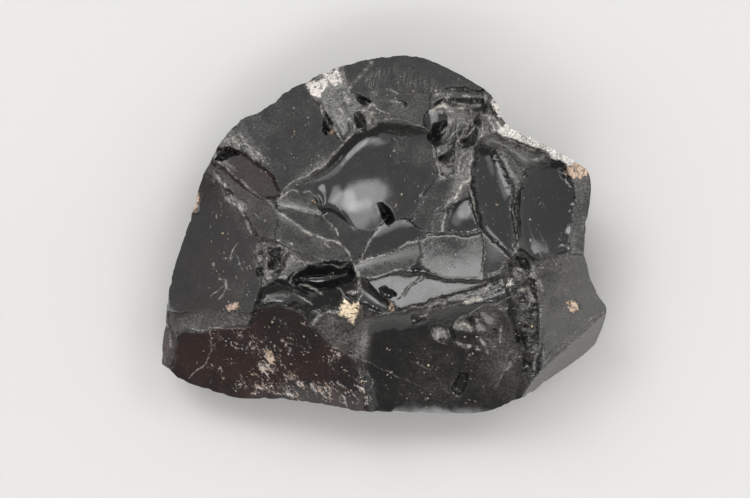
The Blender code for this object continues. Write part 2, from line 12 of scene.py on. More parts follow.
import bpy
import numpy as np
from bpy.props import FloatProperty, FloatVectorProperty, IntProperty, PointerProperty
from bpy.types import Operator, Panel, PropertyGroup
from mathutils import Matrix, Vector


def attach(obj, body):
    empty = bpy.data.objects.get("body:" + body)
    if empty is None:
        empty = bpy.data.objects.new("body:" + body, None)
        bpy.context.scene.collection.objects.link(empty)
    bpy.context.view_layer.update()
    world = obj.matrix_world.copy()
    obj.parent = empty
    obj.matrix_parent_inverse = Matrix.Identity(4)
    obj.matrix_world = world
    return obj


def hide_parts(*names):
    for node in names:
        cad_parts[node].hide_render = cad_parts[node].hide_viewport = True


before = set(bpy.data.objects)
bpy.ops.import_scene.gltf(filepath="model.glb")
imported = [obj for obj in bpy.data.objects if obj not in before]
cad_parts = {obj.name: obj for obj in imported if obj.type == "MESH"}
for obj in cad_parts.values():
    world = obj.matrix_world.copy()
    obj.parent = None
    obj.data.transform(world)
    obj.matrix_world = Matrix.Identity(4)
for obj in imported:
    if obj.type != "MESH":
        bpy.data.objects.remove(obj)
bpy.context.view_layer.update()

bl_info = {
    "name": "Obsidian Chunk",
    "version": (1, 0, 0),
    "blender": (4, 5, 0),
    "location": "3D View > Sidebar > Obsidian",
    "description": "A broken chunk of black volcanic glass with dusty ridges and mineral crust",
    "category": "Object",
}

MM = 0.001

# ---------------------------------------------------------------------------------------------------------------
# How the relief is built, in millimetres.
# ---------------------------------------------------------------------------------------------------------------

TALL = 30.0            # higher than anything on the chunk
HIGHEST = 19.93        # the chunk's own height
SCAR_OVERLAP = 0.12    # neighbouring scars overlap by this much on each side
DISH_LIMIT = 3.0       # how far up the rim of a long scar's dish may curl
GENTLE_TURN = 0.85     # corners of an outline that turn by less than this, in radians, are cut
ROLL_REACH = 3.0       # how far from a scar's middle its rolled side has its full rounding
PROBE = 0.01           # step used to read a slope
SCAR_REACH = 1.6       # how far past its outline a scar is worked out
FACET_TABLE = 64       # random heights along each side of the table that facets are laid from
FACET_BEND = 0.35      # how far their net is bent, and the wavelength of the bends, both in facet widths
FACET_BEND_LENGTH = 4.0
FACET_BEND_WAVES = 6
FAN_ARM = 4.0          # facets that fan out are as wide as they are given this far from where they start
FINE_FACET = 0.30      # size and height of the finer facets over the coarse ones' ...
FINE_STRETCH = 0.5     # ... how much of their stretch they have, and how far they are turned from them, in degrees
FINE_TURN = 25.0
FLAKE_REACH = 1.0      # how far past its outline a flake is worked out
FLAKE_FILLET = 0.06    # rounding at the foot of a flake's wall, and the wall's slope
FLAKE_WALL = 3.0
CRUSH_FADE = 0.5       # half the width over which a crushed place fades out
FLAT_LEAD = 1e-6       # keeps the step to a ridge finite where two surfaces run level
COARSE_WOBBLE = 2.6    # wavelengths of the wobble of the ridges ...
FINE_WOBBLE = 0.8
FINE_SHARE = 0.4       # ... and how much of it is fine
CHEEK_FILM = 0.055     # dust on the steep side facet
UNDER_FILM = 0.02      # and on the underside
CROSS = 261            # vertices across the net of the upper face
SIDE_ROWS = 3          # rows of faces round the rim
UNDER_ROWS = 25        # rows of faces from the rim to the middle of the resting face ...
UNDER_SLOPE_ROWS = 20  # ... of which these lie on the slopes
RESTING_SHARE = 0.52   # how far out the resting face reaches everywhere, as a share of the way to the rim
RIM_STEPS = 24         # places laid along each edge of the outline
NICK_DEPTH = 0.10      # nicks in the rim and the two lengths of them
NICK_LENGTH = 1.9
CHATTER_LENGTH = 0.7
CHATTER_PART = 3.0     # the fine nicks are this many times smaller
SIDE_DENT = 0.006      # dents in the rim's edge, as a share of the way out
DENT_LENGTH = 2.2
DENT_SHIFT = 9.0       # how far the dents move along from one row to the next
THINNEST_RIM = 0.35
SNAP_ROUNDS = 2        # times that the net is drawn onto the ridges
SNAP_REACH = 0.07      # how far a vertex may be drawn each time
RIDGE_WIDTH = 0.13
RIDGE_TURNS = (0.12, 0.5)  # ridges that turn by less than the first carry no dust, and by the second their full dust
RIDGE_FILM = 0.012     # dust that every ridge carries
LINE_NEAR = 0.14       # a line of dust or a crack shows out to this far, or to this many of its widths ...
LINE_WIDTHS = 1.5
LINE_FADE = 0.12       # ... and is gone this much further out or past its ends
STREAK_FADE = 0.5      # half the width over which streaks thin out
SHARP_TURN = 0.42      # ridges that turn by more than this, in radians, are sharp
SWELL = 0.020          # gentle swell of the fracture surfaces, and its wavelength
SWELL_LENGTH = 6.5
SHIMMER = 0.0025       # a finer swell
SHIMMER_LENGTH = 1.5
CRUST_EDGE = 0.30      # half the width over which crust thins out
LUMP_LENGTH = 0.7      # lumps in crust, and how much of its height they are
LUMP_SHARE = 0.15
GRIT_FADE = 1.0
UNDER_WOBBLE = 2.0
UNDER_ROUGH = 0.10
UNDER_LENGTH = 2.4
UNDER_FADE = 1.5       # height over which the underside's roughness starts

# Seeds: of the ridges' coarse and fine wobble, to the right and up, and of everything else that is random.
COARSE_SEEDS = (3, 4)
FINE_SEEDS = (5, 6)
NICK_SEED, CHATTER_SEED = 21, 22
SWELL_SEED, SHIMMER_SEED = 31, 32
LUMP_SEED = 41
UNDER_SEED, DENT_SEED = 51, 52
CLUMP_SEED, GRAIN_SEED = 61, 71
FACET_SEED, FINE_FACET_SEED = 100, 50

# In the shader: how streaks and the specks of grit are turned, in radians, and stretched.
STREAK_TURN = 1.42
STREAK_STRETCH = (4.0, 0.15, 1.0)
GRIT_TURN = -0.95
GRIT_STRETCH = (1.7, 0.85, 1.0)
GRIT_COVER = 0.75      # how well the grit hides the glass
GRIT_LEVELS = (0.66, 0.40)     # how high its noise has to stand where the share is 0 and where it is 1 ...
GRIT_EDGE = (-0.005, 0.035)    # ... how far over and under that its specks fade, and the shares at which they start
GRIT_START = (0.02, 0.10)
FINE_GRIT = 0.55       # share of its noise that is fine
MOTE_SCALE = 1.5       # one cell in so many millimetres may carry a mote, if its draw lies above the share
MOTE_SHARE = 0.55
LARGEST_MOTE = 0.16
MOTE_EDGE = 0.06
SMALL_SPLINTER = 0.35  # height of the smaller splinters over the larger ones'
THICK_LINE = (0.05, 0.40)      # dust on a line at which it starts to look thick, and is thick
DUSTY_FILM = 0.16      # film of dust at which the glass is dull, and its roughness there
DUSTY_ROUGHNESS = 0.55
GLASS_IOR = 1.5
CRUST_ROUGHNESS = 0.85
FLOOR_ROUGHNESS = 0.9
GRAIN_FILM = 0.10
# Heights in the shader, in millimetres: of dust, how deep cracks are, of crust and grit, and of the crust's lumps.
DUST_HEIGHT = 0.05
CRACK_DEPTH = 0.05
COVER_HEIGHT = 0.06
MOTTLE_HEIGHT = 0.05

# Grains.
GRAIN_SIDES = 6
GRAIN_RING = 0.6       # how far the upper and lower ring of a grain lie from its middle
GRAIN_TRIES = 40000    # places tried, and the corners of the area that they are tried in
GRAIN_AREA = ((-25.0, -20.0), (18.0, 18.0))
CLUMP_LENGTH = 1.8     # wavelength of the clumps, and how high their waves are where grains are thickest
CLUMP_FULL = 1.6
LARGEST_GRAIN = 0.22
GRAIN_MARGIN = 0.45    # grains keep this far inside the outline
GRAIN_SPREAD = 0.40    # spread of their sizes, as a logarithm
GRAIN_MIX = (0.55, 0.2, 0.25)  # shares of white, cream and peach grains, and the range of their brightness
GRAIN_TONES = (0.45, 1.0)
GRAIN_WIDTHS = (0.5, 1.0)      # ranges of their width and height, as shares of their length
GRAIN_HEIGHTS = (0.35, 0.6)
GRAIN_ROUGH = 0.25     # how far their corners are moved in or out

# Stage. A softbox: its azimuth and tilt from straight up in degrees, its inner and outer half-widths in degrees,
# and its strength over the dome's.
SOFTBOXES = [
    (134, 36, 6, 15, 6),
    (114, 33, 5, 12, 4.5),
    (122, 48, 6, 12.5, 4.2),
    (-85, 31, 6, 13, 6),
    (-108, 33, 4, 11, 3.5),
    (-130, 35, 3, 10, 3.5),
    (-128, 50, 4, 10, 1),
    (-58, 27, 4, 12, 2),
    (40, 42, 6, 14, 6),
    (95, 24, 4, 10, 4),
    (20, 78, 6, 14, 4),
    (-42, 47, 3, 11, 2.2),
]
NEAR_SIDE = (0.30, 0.62)   # how far a direction leans to the near side where the dome starts and stops dimming
FLOOR_GAP = 0.02
SENSOR_WIDTH = 36.0
CLIPPING = (0.01, 20.0)    # what the camera sees lies between these distances
AIM = (-1.0, -1.56, 12.0)

# The chunk's outline, anticlockwise from the lower left.
OUTLINE = [
    -25-14.5j, -24-15.2j, -23-16.3j, -21-17j, -18-18j, -16.5-18.4j, -12-18.4j, -8-18.8j, -5-19.3j, -3-19.8j, 3-19.9j,
    9-20.1j, 12-19.8j, 14.2-18.7j, 16.3-17.9j, 18-16.6j, 20-15.2j, 22-14j, 24.2-12j, 24.6-10j, 25-8.3j, 24.2-7j,
    23.2-5.5j, 22.6-3.5j, 22.3-1.5j, 22.4+0.5j, 23.1+4.6j, 22.9+7j, 22+7.8j, 20+8.9j, 16+11j, 14+11.8j, 13.3+12.5j,
    12.6+14.4j, 11.6+15.9j, 10+16.9j, 8+18.1j, 6+19.1j, 4+19.9j, 2+20.1j, -1.5+19.7j, -4.6+18.9j, -6.7+18.2j, -8.9+17j,
    -11+16.1j, -12+15j, -14.2+13.6j, -15.8+13.1j, -17+12j, -18.6+10j, -19.3+8.6j, -20.5+6j, -21.3+3j, -22.3+0j, -24-5j,
    -24.5-9.5j, -25-12.5j,
]

# Overall form of the upper face: height over the resting plane at places on it, as x, y, z.
FACE_FORM = [
    (-25, -14.5, 6.5), (-25, -11, 7), (-24, -5, 8), (-22.3, 0, 9), (-20.5, 6, 10),
    (-17, 12.2, 10.3), (-11, 16.1, 10.8), (-4.6, 18.9, 11), (2, 20, 11.3), (8, 18.1, 13.3),
    (11.8, 15.2, 16.8), (16, 10.8, 15.8), (22.9, 7, 13.2), (22.5, 0.5, 12.4), (24.8, -8.3, 11),
    (18, -14.3, 11.8), (14.2, -18.9, 8.4), (9, -20.2, 7.8), (-1, -19.8, 7.6), (-12, -18.4, 7.2),
    (-22, -16.6, 6.4), (11, 13, 20.2), (6, 10.5, 19.2), (0, 4, 18), (-3, 11, 16.6),
    (-11.5, 4.6, 15.4), (-15.5, 5, 14), (-15, 8.5, 12.6), (-4, -3, 16.8), (5, -3, 18),
    (13.5, -4, 17.2), (10, 3, 18.8), (14.7, 4, 17.6), (-15, -0.7, 14.2), (-14, -8.5, 12.6),
    (-8, -9, 14.2), (-3, -10, 14.6), (3, -8.5, 16.2), (14, -7, 16), (16, -15, 11.8),
    (6, -14, 10.8), (18.5, 3, 14.6), (17, -3, 15.6), (-2, 14, 15.4), (5.2, 15.4, 16.6),
    (-8, 14.5, 13.6),
]

# Overall form of the underside: nothing around the resting face, rising to the rim.
UNDER_FORM = [
    (-16, -3, 0), (-14, 5, 0), (-8, 10, 0), (2, 12, 0), (10, 8.5, 0),
    (15, 3, 0), (15, -3, 0), (11, -11, 0), (1, -13, 0), (-10, -12, 0),
    (-25, -14.5, 5), (-24.5, -9, 6), (-23.5, -4, 7), (-21.3, 3, 8.6), (-18.6, 10, 8.8),
    (-11, 16.1, 9.8), (-4.6, 18.9, 9.8), (2, 20, 9.6), (8, 18.1, 12.4), (12.8, 13.8, 16),
    (15, 11.4, 15.4), (22.9, 7, 12.2), (22.5, 0.5, 11.8), (25, -8.3, 10.2), (22.5, -13.6, 3.2),
    (16.3, -17.9, 5.2), (9, -20.2, 7.2), (-1, -19.8, 7.2), (-12, -18.4, 6.6), (-22, -16.6, 4.8),
]

# A scar: how far it lies under the overall form, how deep its dish is, its outline, an extra lean to the right and
# towards the crown, how widely the foot of its wall is rounded, the dust on it (on the crest also a painted
# highlight), its share of brown glass, how steeply its wall rises, how softly it meets its neighbours, its whole rise
# to the right and towards the crown where that isn't the overall form's, whether its wall runs straight, and the side
# (in degrees from the right, anticlockwise) where the foot of its wall is rounded more, with how widely.
Scar = namedtuple("Scar", "name drop dish outline lean fillet film tint wall soft rise straight roll",
                  defaults=((0.0, 0.0), 0.05, 0.02, 0.0, 3.0, 0.0, None, False, None))

# Scars of the upper left: the shoulder, the crown at the top edge and the crushed strip between them.
SHOULDER_AND_CROWN = [
    Scar("shoulder", 0.35, 0.22, [
        -17.4+13.2j, -14.2+14.8j, -12+16.2j, -8.9+18.2j, -8.5+15.6j, -7+14j, -6+12j, -5+10.2j, -7+7.4j, -9.3+6j,
        -11.4+4.8j, -13.2+7.2j, -15.5+8.6j, -16.2+11j], film=0.01),
    Scar("shoulder crust", 0.2, 0.1, [-9.5+18.4j, -4.6+20.2j, -4.2+16.5j, -7+14.8j, -8.5+15.6j], film=0.09),
    Scar("crown plate", 0.2, 0.2, [
        -7+14.8j, -4.2+16.5j, -2+14.4j, -0.8+12.8j, -2+12j, -3.5+11.2j, -4.9+10.3j, -6+12j], film=0.026),
    Scar("crown", 0.2, 0.5, [
        -5+20.4j, -1.5+21j, 4+21j, 8+19.6j, 11.6+17.2j, 11.8+15.6j, 9+15.8j, 7.5+16.2j, 5.5+15.8j, 2+16.2j, -1+16j,
        -2+14.4j, -4.2+16.5j], film=0.008),
    Scar("crown step", 0.3, 0.2, [
        -2+14.4j, -1+16j, 2+16.2j, 5.5+15.8j, 5+14j, 4.4+12.2j, 0+12.9j, -0.8+12.8j], film=0.02),
    Scar("brown pit", 1.6, 0.5, [
        -20.8+9.2j, -18+9.5j, -16.2+9.2j, -15.5+8.6j, -13.2+7.2j, -11.8+5j, -12.1+4.2j, -13.5+4.2j, -15.5+5.6j,
        -17+7.2j, -18.8+8.2j], film=0.012, tint=0.8),
    Scar("pit chip", 0.6, 0.1, [
        -20.8+10j, -17.6+13.4j, -16.2+11j, -15.5+8.6j, -16.2+9.2j, -18+9.5j, -20.4+9j], film=0.05, tint=0.2),
]

# Scars of the left flank, with the long slanting spar above it and the strips at its foot.
FLANK = [
    Scar("spar", 0.1, 0.2, [
        -20.8+8.6j, -18.8+8.2j, -17+7.1j, -15+5.2j, -13+3.9j, -12+3.2j, -11.8-1j, -14-0.6j, -15+1j, -16+3j, -17.5+5j,
        -19.3+7j, -21.4+7.4j], film=0.022, tint=0.2),
    Scar("spar toe", 0.1, 0.2, [
        -12+3.2j, -10+1.5j, -8+0j, -6.5-0.4j, -5-1j, -4-1.8j, -3.3-3.3j, -4.2-2.9j, -6-3j, -8.5-2.4j, -10.5-1.5j,
        -11.8-1j], film=0.026),
    Scar("flank", 0.2, 1, [
        -22.6+7.4j, -19.3+7j, -17.5+5j, -16+3j, -15+1j, -14-0.6j, -15-2.2j, -14-3.5j, -13.5-5.8j, -14.2-8j, -14.6-9j,
        -16-8.9j, -21.5-8.7j, -25.6-9.2j, -25.4-5j, -24-1j, -23.4+3j], film=0.004, tint=0.25),
    Scar("flank foot", 0.3, 0.1, [
        -26-10.6j, -25.4-9j, -21.5-8.7j, -16-8.8j, -14.5-9j, -15-10.3j, -22-10.6j], film=0.035, tint=0.2),
    Scar("left bevel", 0.5, 0.1, [
        -26.4-9.4j, -24-9.2j, -23.9-10.5j, -23.6-14j, -24.5-16.4j, -27-15.5j], film=0.02, tint=0.8),
]

# Scars of the lower left: the brown foot, and the glassy shells above it.
FOOT_AND_SHELLS = [
    Scar("foot", 0.3, 0.8, [
        -23.9-10.5j, -19.5-10.4j, -15-10.3j, -14.5-9j, -14-8j, -10.5-7.8j, -8-10j, -6-12.5j, -3-14j, -1-17j, -1-21.4j,
        -13-20j, -16.5-20j, -22.8-18j, -25.4-17j, -23.6-14j], film=0.004, tint=0.9),
    Scar("crushed pocket", 0.9, 0.3, [
        -15-0.8j, -11.8-1j, -10.5-2j, -11.5-3.5j, -12.5-5j, -13.5-5.8j, -14-3.5j, -15-2.2j], film=0.04),
    Scar("grey slope", 0.5, 0.2, [
        -11.8-1j, -10.5-1.5j, -8.5-2.4j, -6-3j, -8-3.3j, -9.5-3.8j, -10.5-5j, -12.5-5j, -11.5-3.5j, -10.5-2j],
        film=0.05, fillet=0.2),
    Scar("black shell", 2, 0.8, [
        -10.5-5.2j, -9.3-3.9j, -7.5-3.3j, -3.7-3.2j, -3.4-4.8j, -5-5.6j, -7.3-6.4j, -9.5-5.6j], film=0, fillet=0.5),
    Scar("second shell", 1.3, 0.4, [
        -13.7-6.8j, -13.4-5.7j, -12.5-5j, -10.5-5.1j, -9-6.2j, -7.3-6.6j, -8.2-7.6j, -10.5-7.8j, -12.5-7.8j, -14.2-8j],
        film=0.005, fillet=0.3),
    Scar("shell apron", 0.8, 0.2, [
        -7.3-6.4j, -5-5.6j, -3.4-4.8j, -2.8-7.3j, -4.8-7.5j, -5.3-8.5j, -8-10j, -10-7.7j, -8.2-7.4j], film=0.004,
        lean=(0, 0.15)),
    Scar("cream bed", 0.8, 0.2, [
        -5.3-8.5j, -4.8-7.5j, -2.8-7.3j, -2.7-8.5j, -3-10j, -3.2-12j, -3-14j, -6-12.5j, -8-10j], film=0.03, tint=0.3),
]

# Scars of the middle: the glossy dish, the plates around it and the bright band under them.
MIDDLE = [
    Scar("centre dish", 0.35, 1.3, [
        -10.4+5j, -10.1+6.1j, -8.4+6.6j, -6+8j, -4.6+9.9j, -3.3+11.2j, -2.2+12.1j, -0.8+12.7j, 1.8+12.4j, 4.2+12j,
        5.3+10.5j, 5.6+8.3j, 6+6.4j, 5+5.5j, 4.3+4.5j, 4.4+1.2j, 3-1j, -2.4-2.6j, -2.6-1j, -3.6+0.9j, -4.2+1.9j,
        -5.4+3j, -6.8+3.2j, -7+3.9j, -8+4.9j], film=0.005, fillet=0.12, wall=1.7, lean=(0.03, -0.07), straight=True,
        roll=(125, 0.8)),
    Scar("under plate", 0.3, 0.2, [
        0.3+2j, -0.8+0.8j, -1.6-0.6j, -2.5-2.6j, -2.7-3j, 0-2j, 2-1.2j, 4-0.5j, 5.2+0j, 4+0.6j, 2.9+1.5j, 1.5+1.6j],
        film=0.003),
    Scar("olive chip", 0.1, 0.1, [-12+4j, -10.2+5.4j, -8+4.9j, -7+3.5j, -6.8+2.2j, -9+2.7j, -11.5+3.2j], film=0.025),
    Scar("triangle", 0.2, 0.1, [
        -12+3.2j, -9+2.7j, -6.8+2.1j, -5.2+0j, -4.3-1.3j, -5-1j, -6.5-0.5j, -8+0j, -10+1.5j], film=0.014),
    Scar("wedge", 0.3, 0.2, [
        -6.8+2.2j, -5.3+3.3j, -4+1.8j, -3.4+0.9j, -1+0.5j, -2-1j, -2.7-3j, -3.3-3.3j, -4-1.8j, -5.2+0j], film=0.008),
    Scar("shelf", 0.4, 0.2, [
        -3.3-3.3j, -2.7-3j, 0-2.1j, 2-1.3j, 4-0.6j, 4.2-2.5j, 3-3.5j, 1-4.1j, -1-4.7j, -3.4-4.8j], film=0.03),
    Scar("round plate", 0.45, -0.12, [
        4-0.6j, 5+0j, 7+0.2j, 9-0.2j, 10.8+0.3j, 11.1-2j, 11.1-3j, 10.7-4.9j, 8-5j, 6-4.7j, 4.5-4j, 3.8-2.6j],
        film=0.022, fillet=0.1, rise=(0.03, 0.19)),
    Scar("plate wing", 0.3, 0.1, [
        10.8+0.4j, 13.8-2.7j, 13-4j, 11.5-4.9j, 10.7-4.7j, 11.1-3j], film=0.014, lean=(0, -0.08)),
    Scar("lens", 0.55, 0.03, [
        -1.7-4.9j, 0-4.4j, 3-4.15j, 5-4.7j, 8-5.15j, 11.6-5.2j, 9.5-6.1j, 5-7.4j, 2.6-8.3j, 1-8j, -0.6-7.4j, -1.5-6.2j]
        , film=0.02, fillet=0.1, rise=(0, 0.27)),
    Scar("dark nook", 1, 0.3, [
        -3.4-4.8j, -1.9-4.9j, -1.6-5.8j, -1-6.7j, 0-7.4j, 1.2-8.2j, 0.5-8.4j, -2.8-7.4j], film=0.01, lean=(0, 0.1)),
    Scar("lip", 0.3, 0.1, [
        3-8j, 5-7.2j, 8-6.5j, 11-5.6j, 12-5j, 13-4j, 14.3-5j, 14-6.5j, 9-7.5j, 5-8.7j, 2-9.4j, -1-9.6j, -3-10j,
        -2.7-7.6j, 0.5-8.2j], film=0.006, lean=(0, -0.05)),
]

# Scars of the lower right: the wide bowl, the crushed valley beside it and the spur.
BOWL_AND_SPUR = [
    Scar("bowl", 0.6, 1.4, [
        -3-10j, -1-9.6j, 2-9.4j, 5-8.6j, 9-7.4j, 14-6.5j, 15-9j, 15.5-12j, 16-15j, 15.5-21j, 9-22j, -1-21.5j, -1-17j,
        -3-14j, -3.2-12j], film=0.004, fillet=0.5, wall=1.6, soft=0.3, lean=(0, 0.1)),
    Scar("valley", 1, 0.4, [
        14.3-2.9j, 15.3-2.1j, 16.6-3.1j, 16.4-4.2j, 17-6.5j, 16.7-10j, 17.2-13j, 16.4-15.8j, 15.5-12j, 15-9j, 14-6.5j,
        13-4j], film=0.002, wall=1.6, fillet=0.2),
    Scar("spur", 0.2, 0.3, [
        16.4-4.2j, 16.6-3.1j, 20.7-2.1j, 23.6-1.5j, 27.5-8.5j, 25.2-8.2j, 17.8-15j, 16.4-15.2j, 17.2-13j, 16.7-10j,
        17-6.5j], film=0.035, soft=0.08),
]

# Scars of the right: the blade, the hollow beside it, the crest along the edge and the crushed hub.
RIGHT = [
    Scar("right hollow", 0.4, 0.6, [
        15.8+7j, 17+8j, 18.5+8.7j, 20+8j, 20.5+7j, 21.2+6j, 21.3+3j, 21+0j, 20.7-2j, 17-3j, 15.3-2j, 14.7+0j,
        14.7+4.8j]
        , film=0, fillet=0.4),
    Scar("rim strip", 0.2, 0, [
        21.2+6j, 20.5+7.4j, 23.4+8j, 24.8+6j, 24.2+0j, 24-1.6j, 20.7-2j, 21+0j, 21.3+3j], film=0.04),
    Scar("web", 0.6, 0.4, [
        11+11j, 12.8+11.2j, 14+10.4j, 16+9.8j, 18.5+8.8j, 17+8j, 15.8+7.1j, 15+7.6j, 13.8+9j, 12.8+9.8j, 11+10j],
        film=0.04, fillet=0.25),
    # The crest's heavy film is dust and a painted highlight: the bright band along the edge.
    Scar("crest", 0, 0, [
        12+12.8j, 14+13.2j, 20+10.4j, 22.8+9.2j, 24.2+8j, 20.5+7.4j, 18.5+8.3j, 16+9.3j, 14+10.1j, 12.8+11j],
        film=0.52),
    Scar("blade", 0.3, 0.5, [
        10+9.6j, 12+9.7j, 13.3+8j, 14.2+6j, 14.7+4.8j, 14.4+2.5j, 14.5+0j, 15-2j, 14.2-3j, 12.5-1.3j, 10.7+0.5j, 10+3j,
        9.5+6j, 9.7+8j], film=0.003, fillet=0.3),
    Scar("blade rim", 0.1, 0, [12.3+9.8j, 13.8+9j, 15+7.6j, 15.8+7.1j, 14.7+4.8j, 14.2+6j, 13.3+8j], film=0.03),
    Scar("sail", 0.35, 0.2, [
        8.5+4.2j, 9.5+4j, 9.9+2.5j, 10.4+0.6j, 9+0.2j, 6.8+0.5j, 6.8+1.6j, 7.1+2.8j], film=0.004, fillet=0.1,
        rise=(-0.09, 0.21)),
    Scar("dusty strip", 0.2, 0.1, [
        5+5.5j, 6+6.4j, 8+6.5j, 9.4+6j, 9.4+4j, 8.5+4.2j, 6.9+2.8j, 6.9+0.4j, 5.8+0.1j, 5+0j, 3+1.4j, 3.7+3.2j,
        4.4+4.5j], film=0.014),
    Scar("hub flat", 0.2, 0.1, [
        5.4+9.9j, 7.5+9.9j, 9.9+9.6j, 9.6+8j, 9.4+6.2j, 8.3+6.4j, 6+6.5j, 5.4+8.3j], film=0.03),
    Scar("hub hollow", 0.8, 0.2, [4.4+12.2j, 5+14j, 6.8+13.6j, 6.6+11.6j, 5.3+10.6j], film=0),
    Scar("hub streak", 0.2, 0.1, [6.8+13.6j, 8+13.2j, 7.5+10.4j, 7.4+9.9j, 5.4+9.9j, 5.3+10.6j, 6.6+11.6j], film=0.04),
    Scar("hub step", 1.1, 0.1, [
        5+14j, 5.5+15.9j, 7.5+16.3j, 9+15.9j, 11.8+15.9j, 10.4+14.2j, 8+13.2j, 6.8+13.6j], film=0.015),
    Scar("hub top", 0, 0.1, [
        8+13.2j, 10.4+14.2j, 12.6+15.6j, 14+12.4j, 12.8+11.3j, 11+11j, 10.4+9.8j, 9.9+9.6j, 7.4+9.9j], film=0.02),
]
# The steep side facet at the lower right, as three places it passes through.
CHEEK_PLACES = [(25.4, -7.6, 11.8), (17.8, -14.7, 11.8), (20.6, -15.8, 3.6)]

# Scars of the underside, around the resting face.
UNDER = [
    Scar("under left", 0, 0.5, [-14+5j, -16-3j, -15-8j, -27-11j, -26+0j, -22+8.5j]),
    Scar("under shoulder", 0, 0.4, [-14+5j, -8+10j, -10+19j, -16+15.5j, -22+8.5j]),
    Scar("under crown", 0, 0.5, [-8+10j, 2+12j, 4+22j, -5+21j, -10+19j]),
    Scar("under crown right", 0, 0.4, [2+12j, 10+8.5j, 11.5+15j, 14+17j, 4+22j]),
    Scar("under notch", 0, 0.3, [10+8.5j, 13+6j, 19+12j, 14+17j, 11.5+15j]),
    Scar("under crest", 0, 0.4, [13+6j, 15+3j, 25+5j, 25.5+9j, 19+12j]),
    Scar("under right", 0, 0.5, [15+3j, 15-3j, 24-4j, 25+5j]),
    Scar("under spur", 0, 0.3, [15-3j, 13.5-6.5j, 25.2-10.5j, 27.5-8j, 24-4j]),
    Scar("under cheek", 0, 0.2, [13.5-6.5j, 11-11j, 14.5-21j, 26-15j, 25.2-10.5j]),
    Scar("under bowl", 0, 0.4, [11-11j, 1-13j, -1-22j, 14.5-21j]),
    Scar("under foot", 0, 0.4, [1-13j, -10-12j, -14-21j, -1-22j]),
    Scar("under toe", 0, 0.4, [-10-12j, -15-8j, -27-11j, -27-17j, -14-21j]),
]

# A crushed place: how tall its facets stand, how wide they are, how many times longer, which way they run, the dust
# on them, the place's outline, and the place that they fan out from, if any.
Crushed = namedtuple("Crushed", "height size stretch along film outline focus", defaults=(None,))

CRUSHED = [
    Crushed(0.24, 0.5, 5, 0, 0.02, [
        5.6+14.4j, 8+14.6j, 11.8+15.4j, 12.8+13.5j, 12.6+12j, 11.2+10.6j, 9.9+9.4j, 9.2+7j, 7.8+7.2j, 6.2+9j,
        5.4+10.4j, 6.8+12j, 7.6+13.2j], focus=(11.6, 13.6)),
    Crushed(0.14, 0.5, 3, 4, 0.02, [5.2+16.1j, 8+16.3j, 11.6+15.9j, 11.9+14.8j, 8+14.3j, 5.1+14.2j]),
    Crushed(0.072, 0.68, 3, 68, 0.014, [
        8+9j, 9.7+9j, 9.6+6j, 9.2+4.2j, 8.2+4.3j, 6.8+2.8j, 6.9+0.6j, 5.2+0j, 4.6+1.2j, 6.2+3.6j, 7.4+5.6j]),
    Crushed(0.192, 0.81, 2.2, 78, 0.01, [
        14-1.6j, 15.2-1.6j, 16.8-3.1j, 16.8-4.2j, 17.5-6.5j, 17.3-10j, 17.5-13.5j, 16.4-16.4j, 15.2-13j, 14.4-9j,
        13.2-6j, 12-4.6j]),
    Crushed(0.192, 0.68, 1.6, 10, 0.014, [
        -15.2-0.6j, -11.8-0.8j, -10.3-1.8j, -11.3-3.5j, -12.3-5j, -13.5-6j, -14.6-3.5j]),
    Crushed(0.112, 0.61, 2, -48, 0.017, [
        -19+10.4j, -17.4+12.2j, -15.6+10.9j, -13.6+9.3j, -12.8+7.8j, -14.4+7.8j, -16.2+9.2j, -18.2+9.4j]),
    Crushed(0.088, 0.81, 2.6, 112, 0.017, [
        -8.4+17.6j, -4.8+19j, -4+16.5j, -2.5+14.6j, -0.4+12.9j, -2+11.8j, -4.9+10.3j, -6.5+12j, -7.5+14j, -8.9+16j]),
    Crushed(0.064, 0.68, 3, 8, 0.01, [-2.6+14.6j, -1+15.4j, 2+14.6j, 4.8+13.8j, 4.6+12.4j, 0+12.9j, -1.4+12.8j]),
    Crushed(0.05, 0.8, 1.7, 72, 0.003, [5-9.6j, 8-8.2j, 12.6-7.6j, 13.4-9.5j, 12.4-12.5j, 9.5-12.8j, 7.5-12j, 5-12j]),
    Crushed(0.064, 0.68, 4, 14, 0.01, [3-8.2j, 8-6.8j, 12-5.2j, 14-4.4j, 14.4-5.8j, 9-7.8j, 5-9j, 2-9.6j]),
    Crushed(0.056, 0.47, 1, 80, 0.014, [0.9+8j, 1.2+11j, 2.8+11.4j, 2.4+8j]),
    Crushed(0.064, 0.54, 3, -52, 0.017, [
        -20+7.4j, -18.4+7.2j, -16.6+4.6j, -15.4+2.8j, -14.4-0.4j, -15.6-0.2j, -17.4+2.8j, -19.4+5.6j]),
    Crushed(0.104, 0.68, 1.5, 20, 0.007, [-8.4-8.4j, -5-7.6j, -2.6-7j, -2.4-10j, -2.8-13j, -5.6-12j]),
    Crushed(0.08, 0.61, 3, 88, 0.017, [13.9+6.4j, 15.2+6.6j, 15+2j, 15.2-1.4j, 14-1.6j, 14+2j]),
]

# A flake: a small flat scar. Which way it faces, how deep it is struck at its middle, the dust on it, its outline.
Flake = namedtuple("Flake", "facing depth film outline")

# Rise to the right and towards the crown of a flake that faces each way.
FACINGS = {
    "near": (-0.03, 0.28),
    "left": (0.24, -0.22),
    "right": (-0.28, -0.24),
    "back": (0.02, -0.22),
    "low": (0.1, 0.62),
    "dark": (0, 0.5),
    "far": (0.3, 0.2),
}

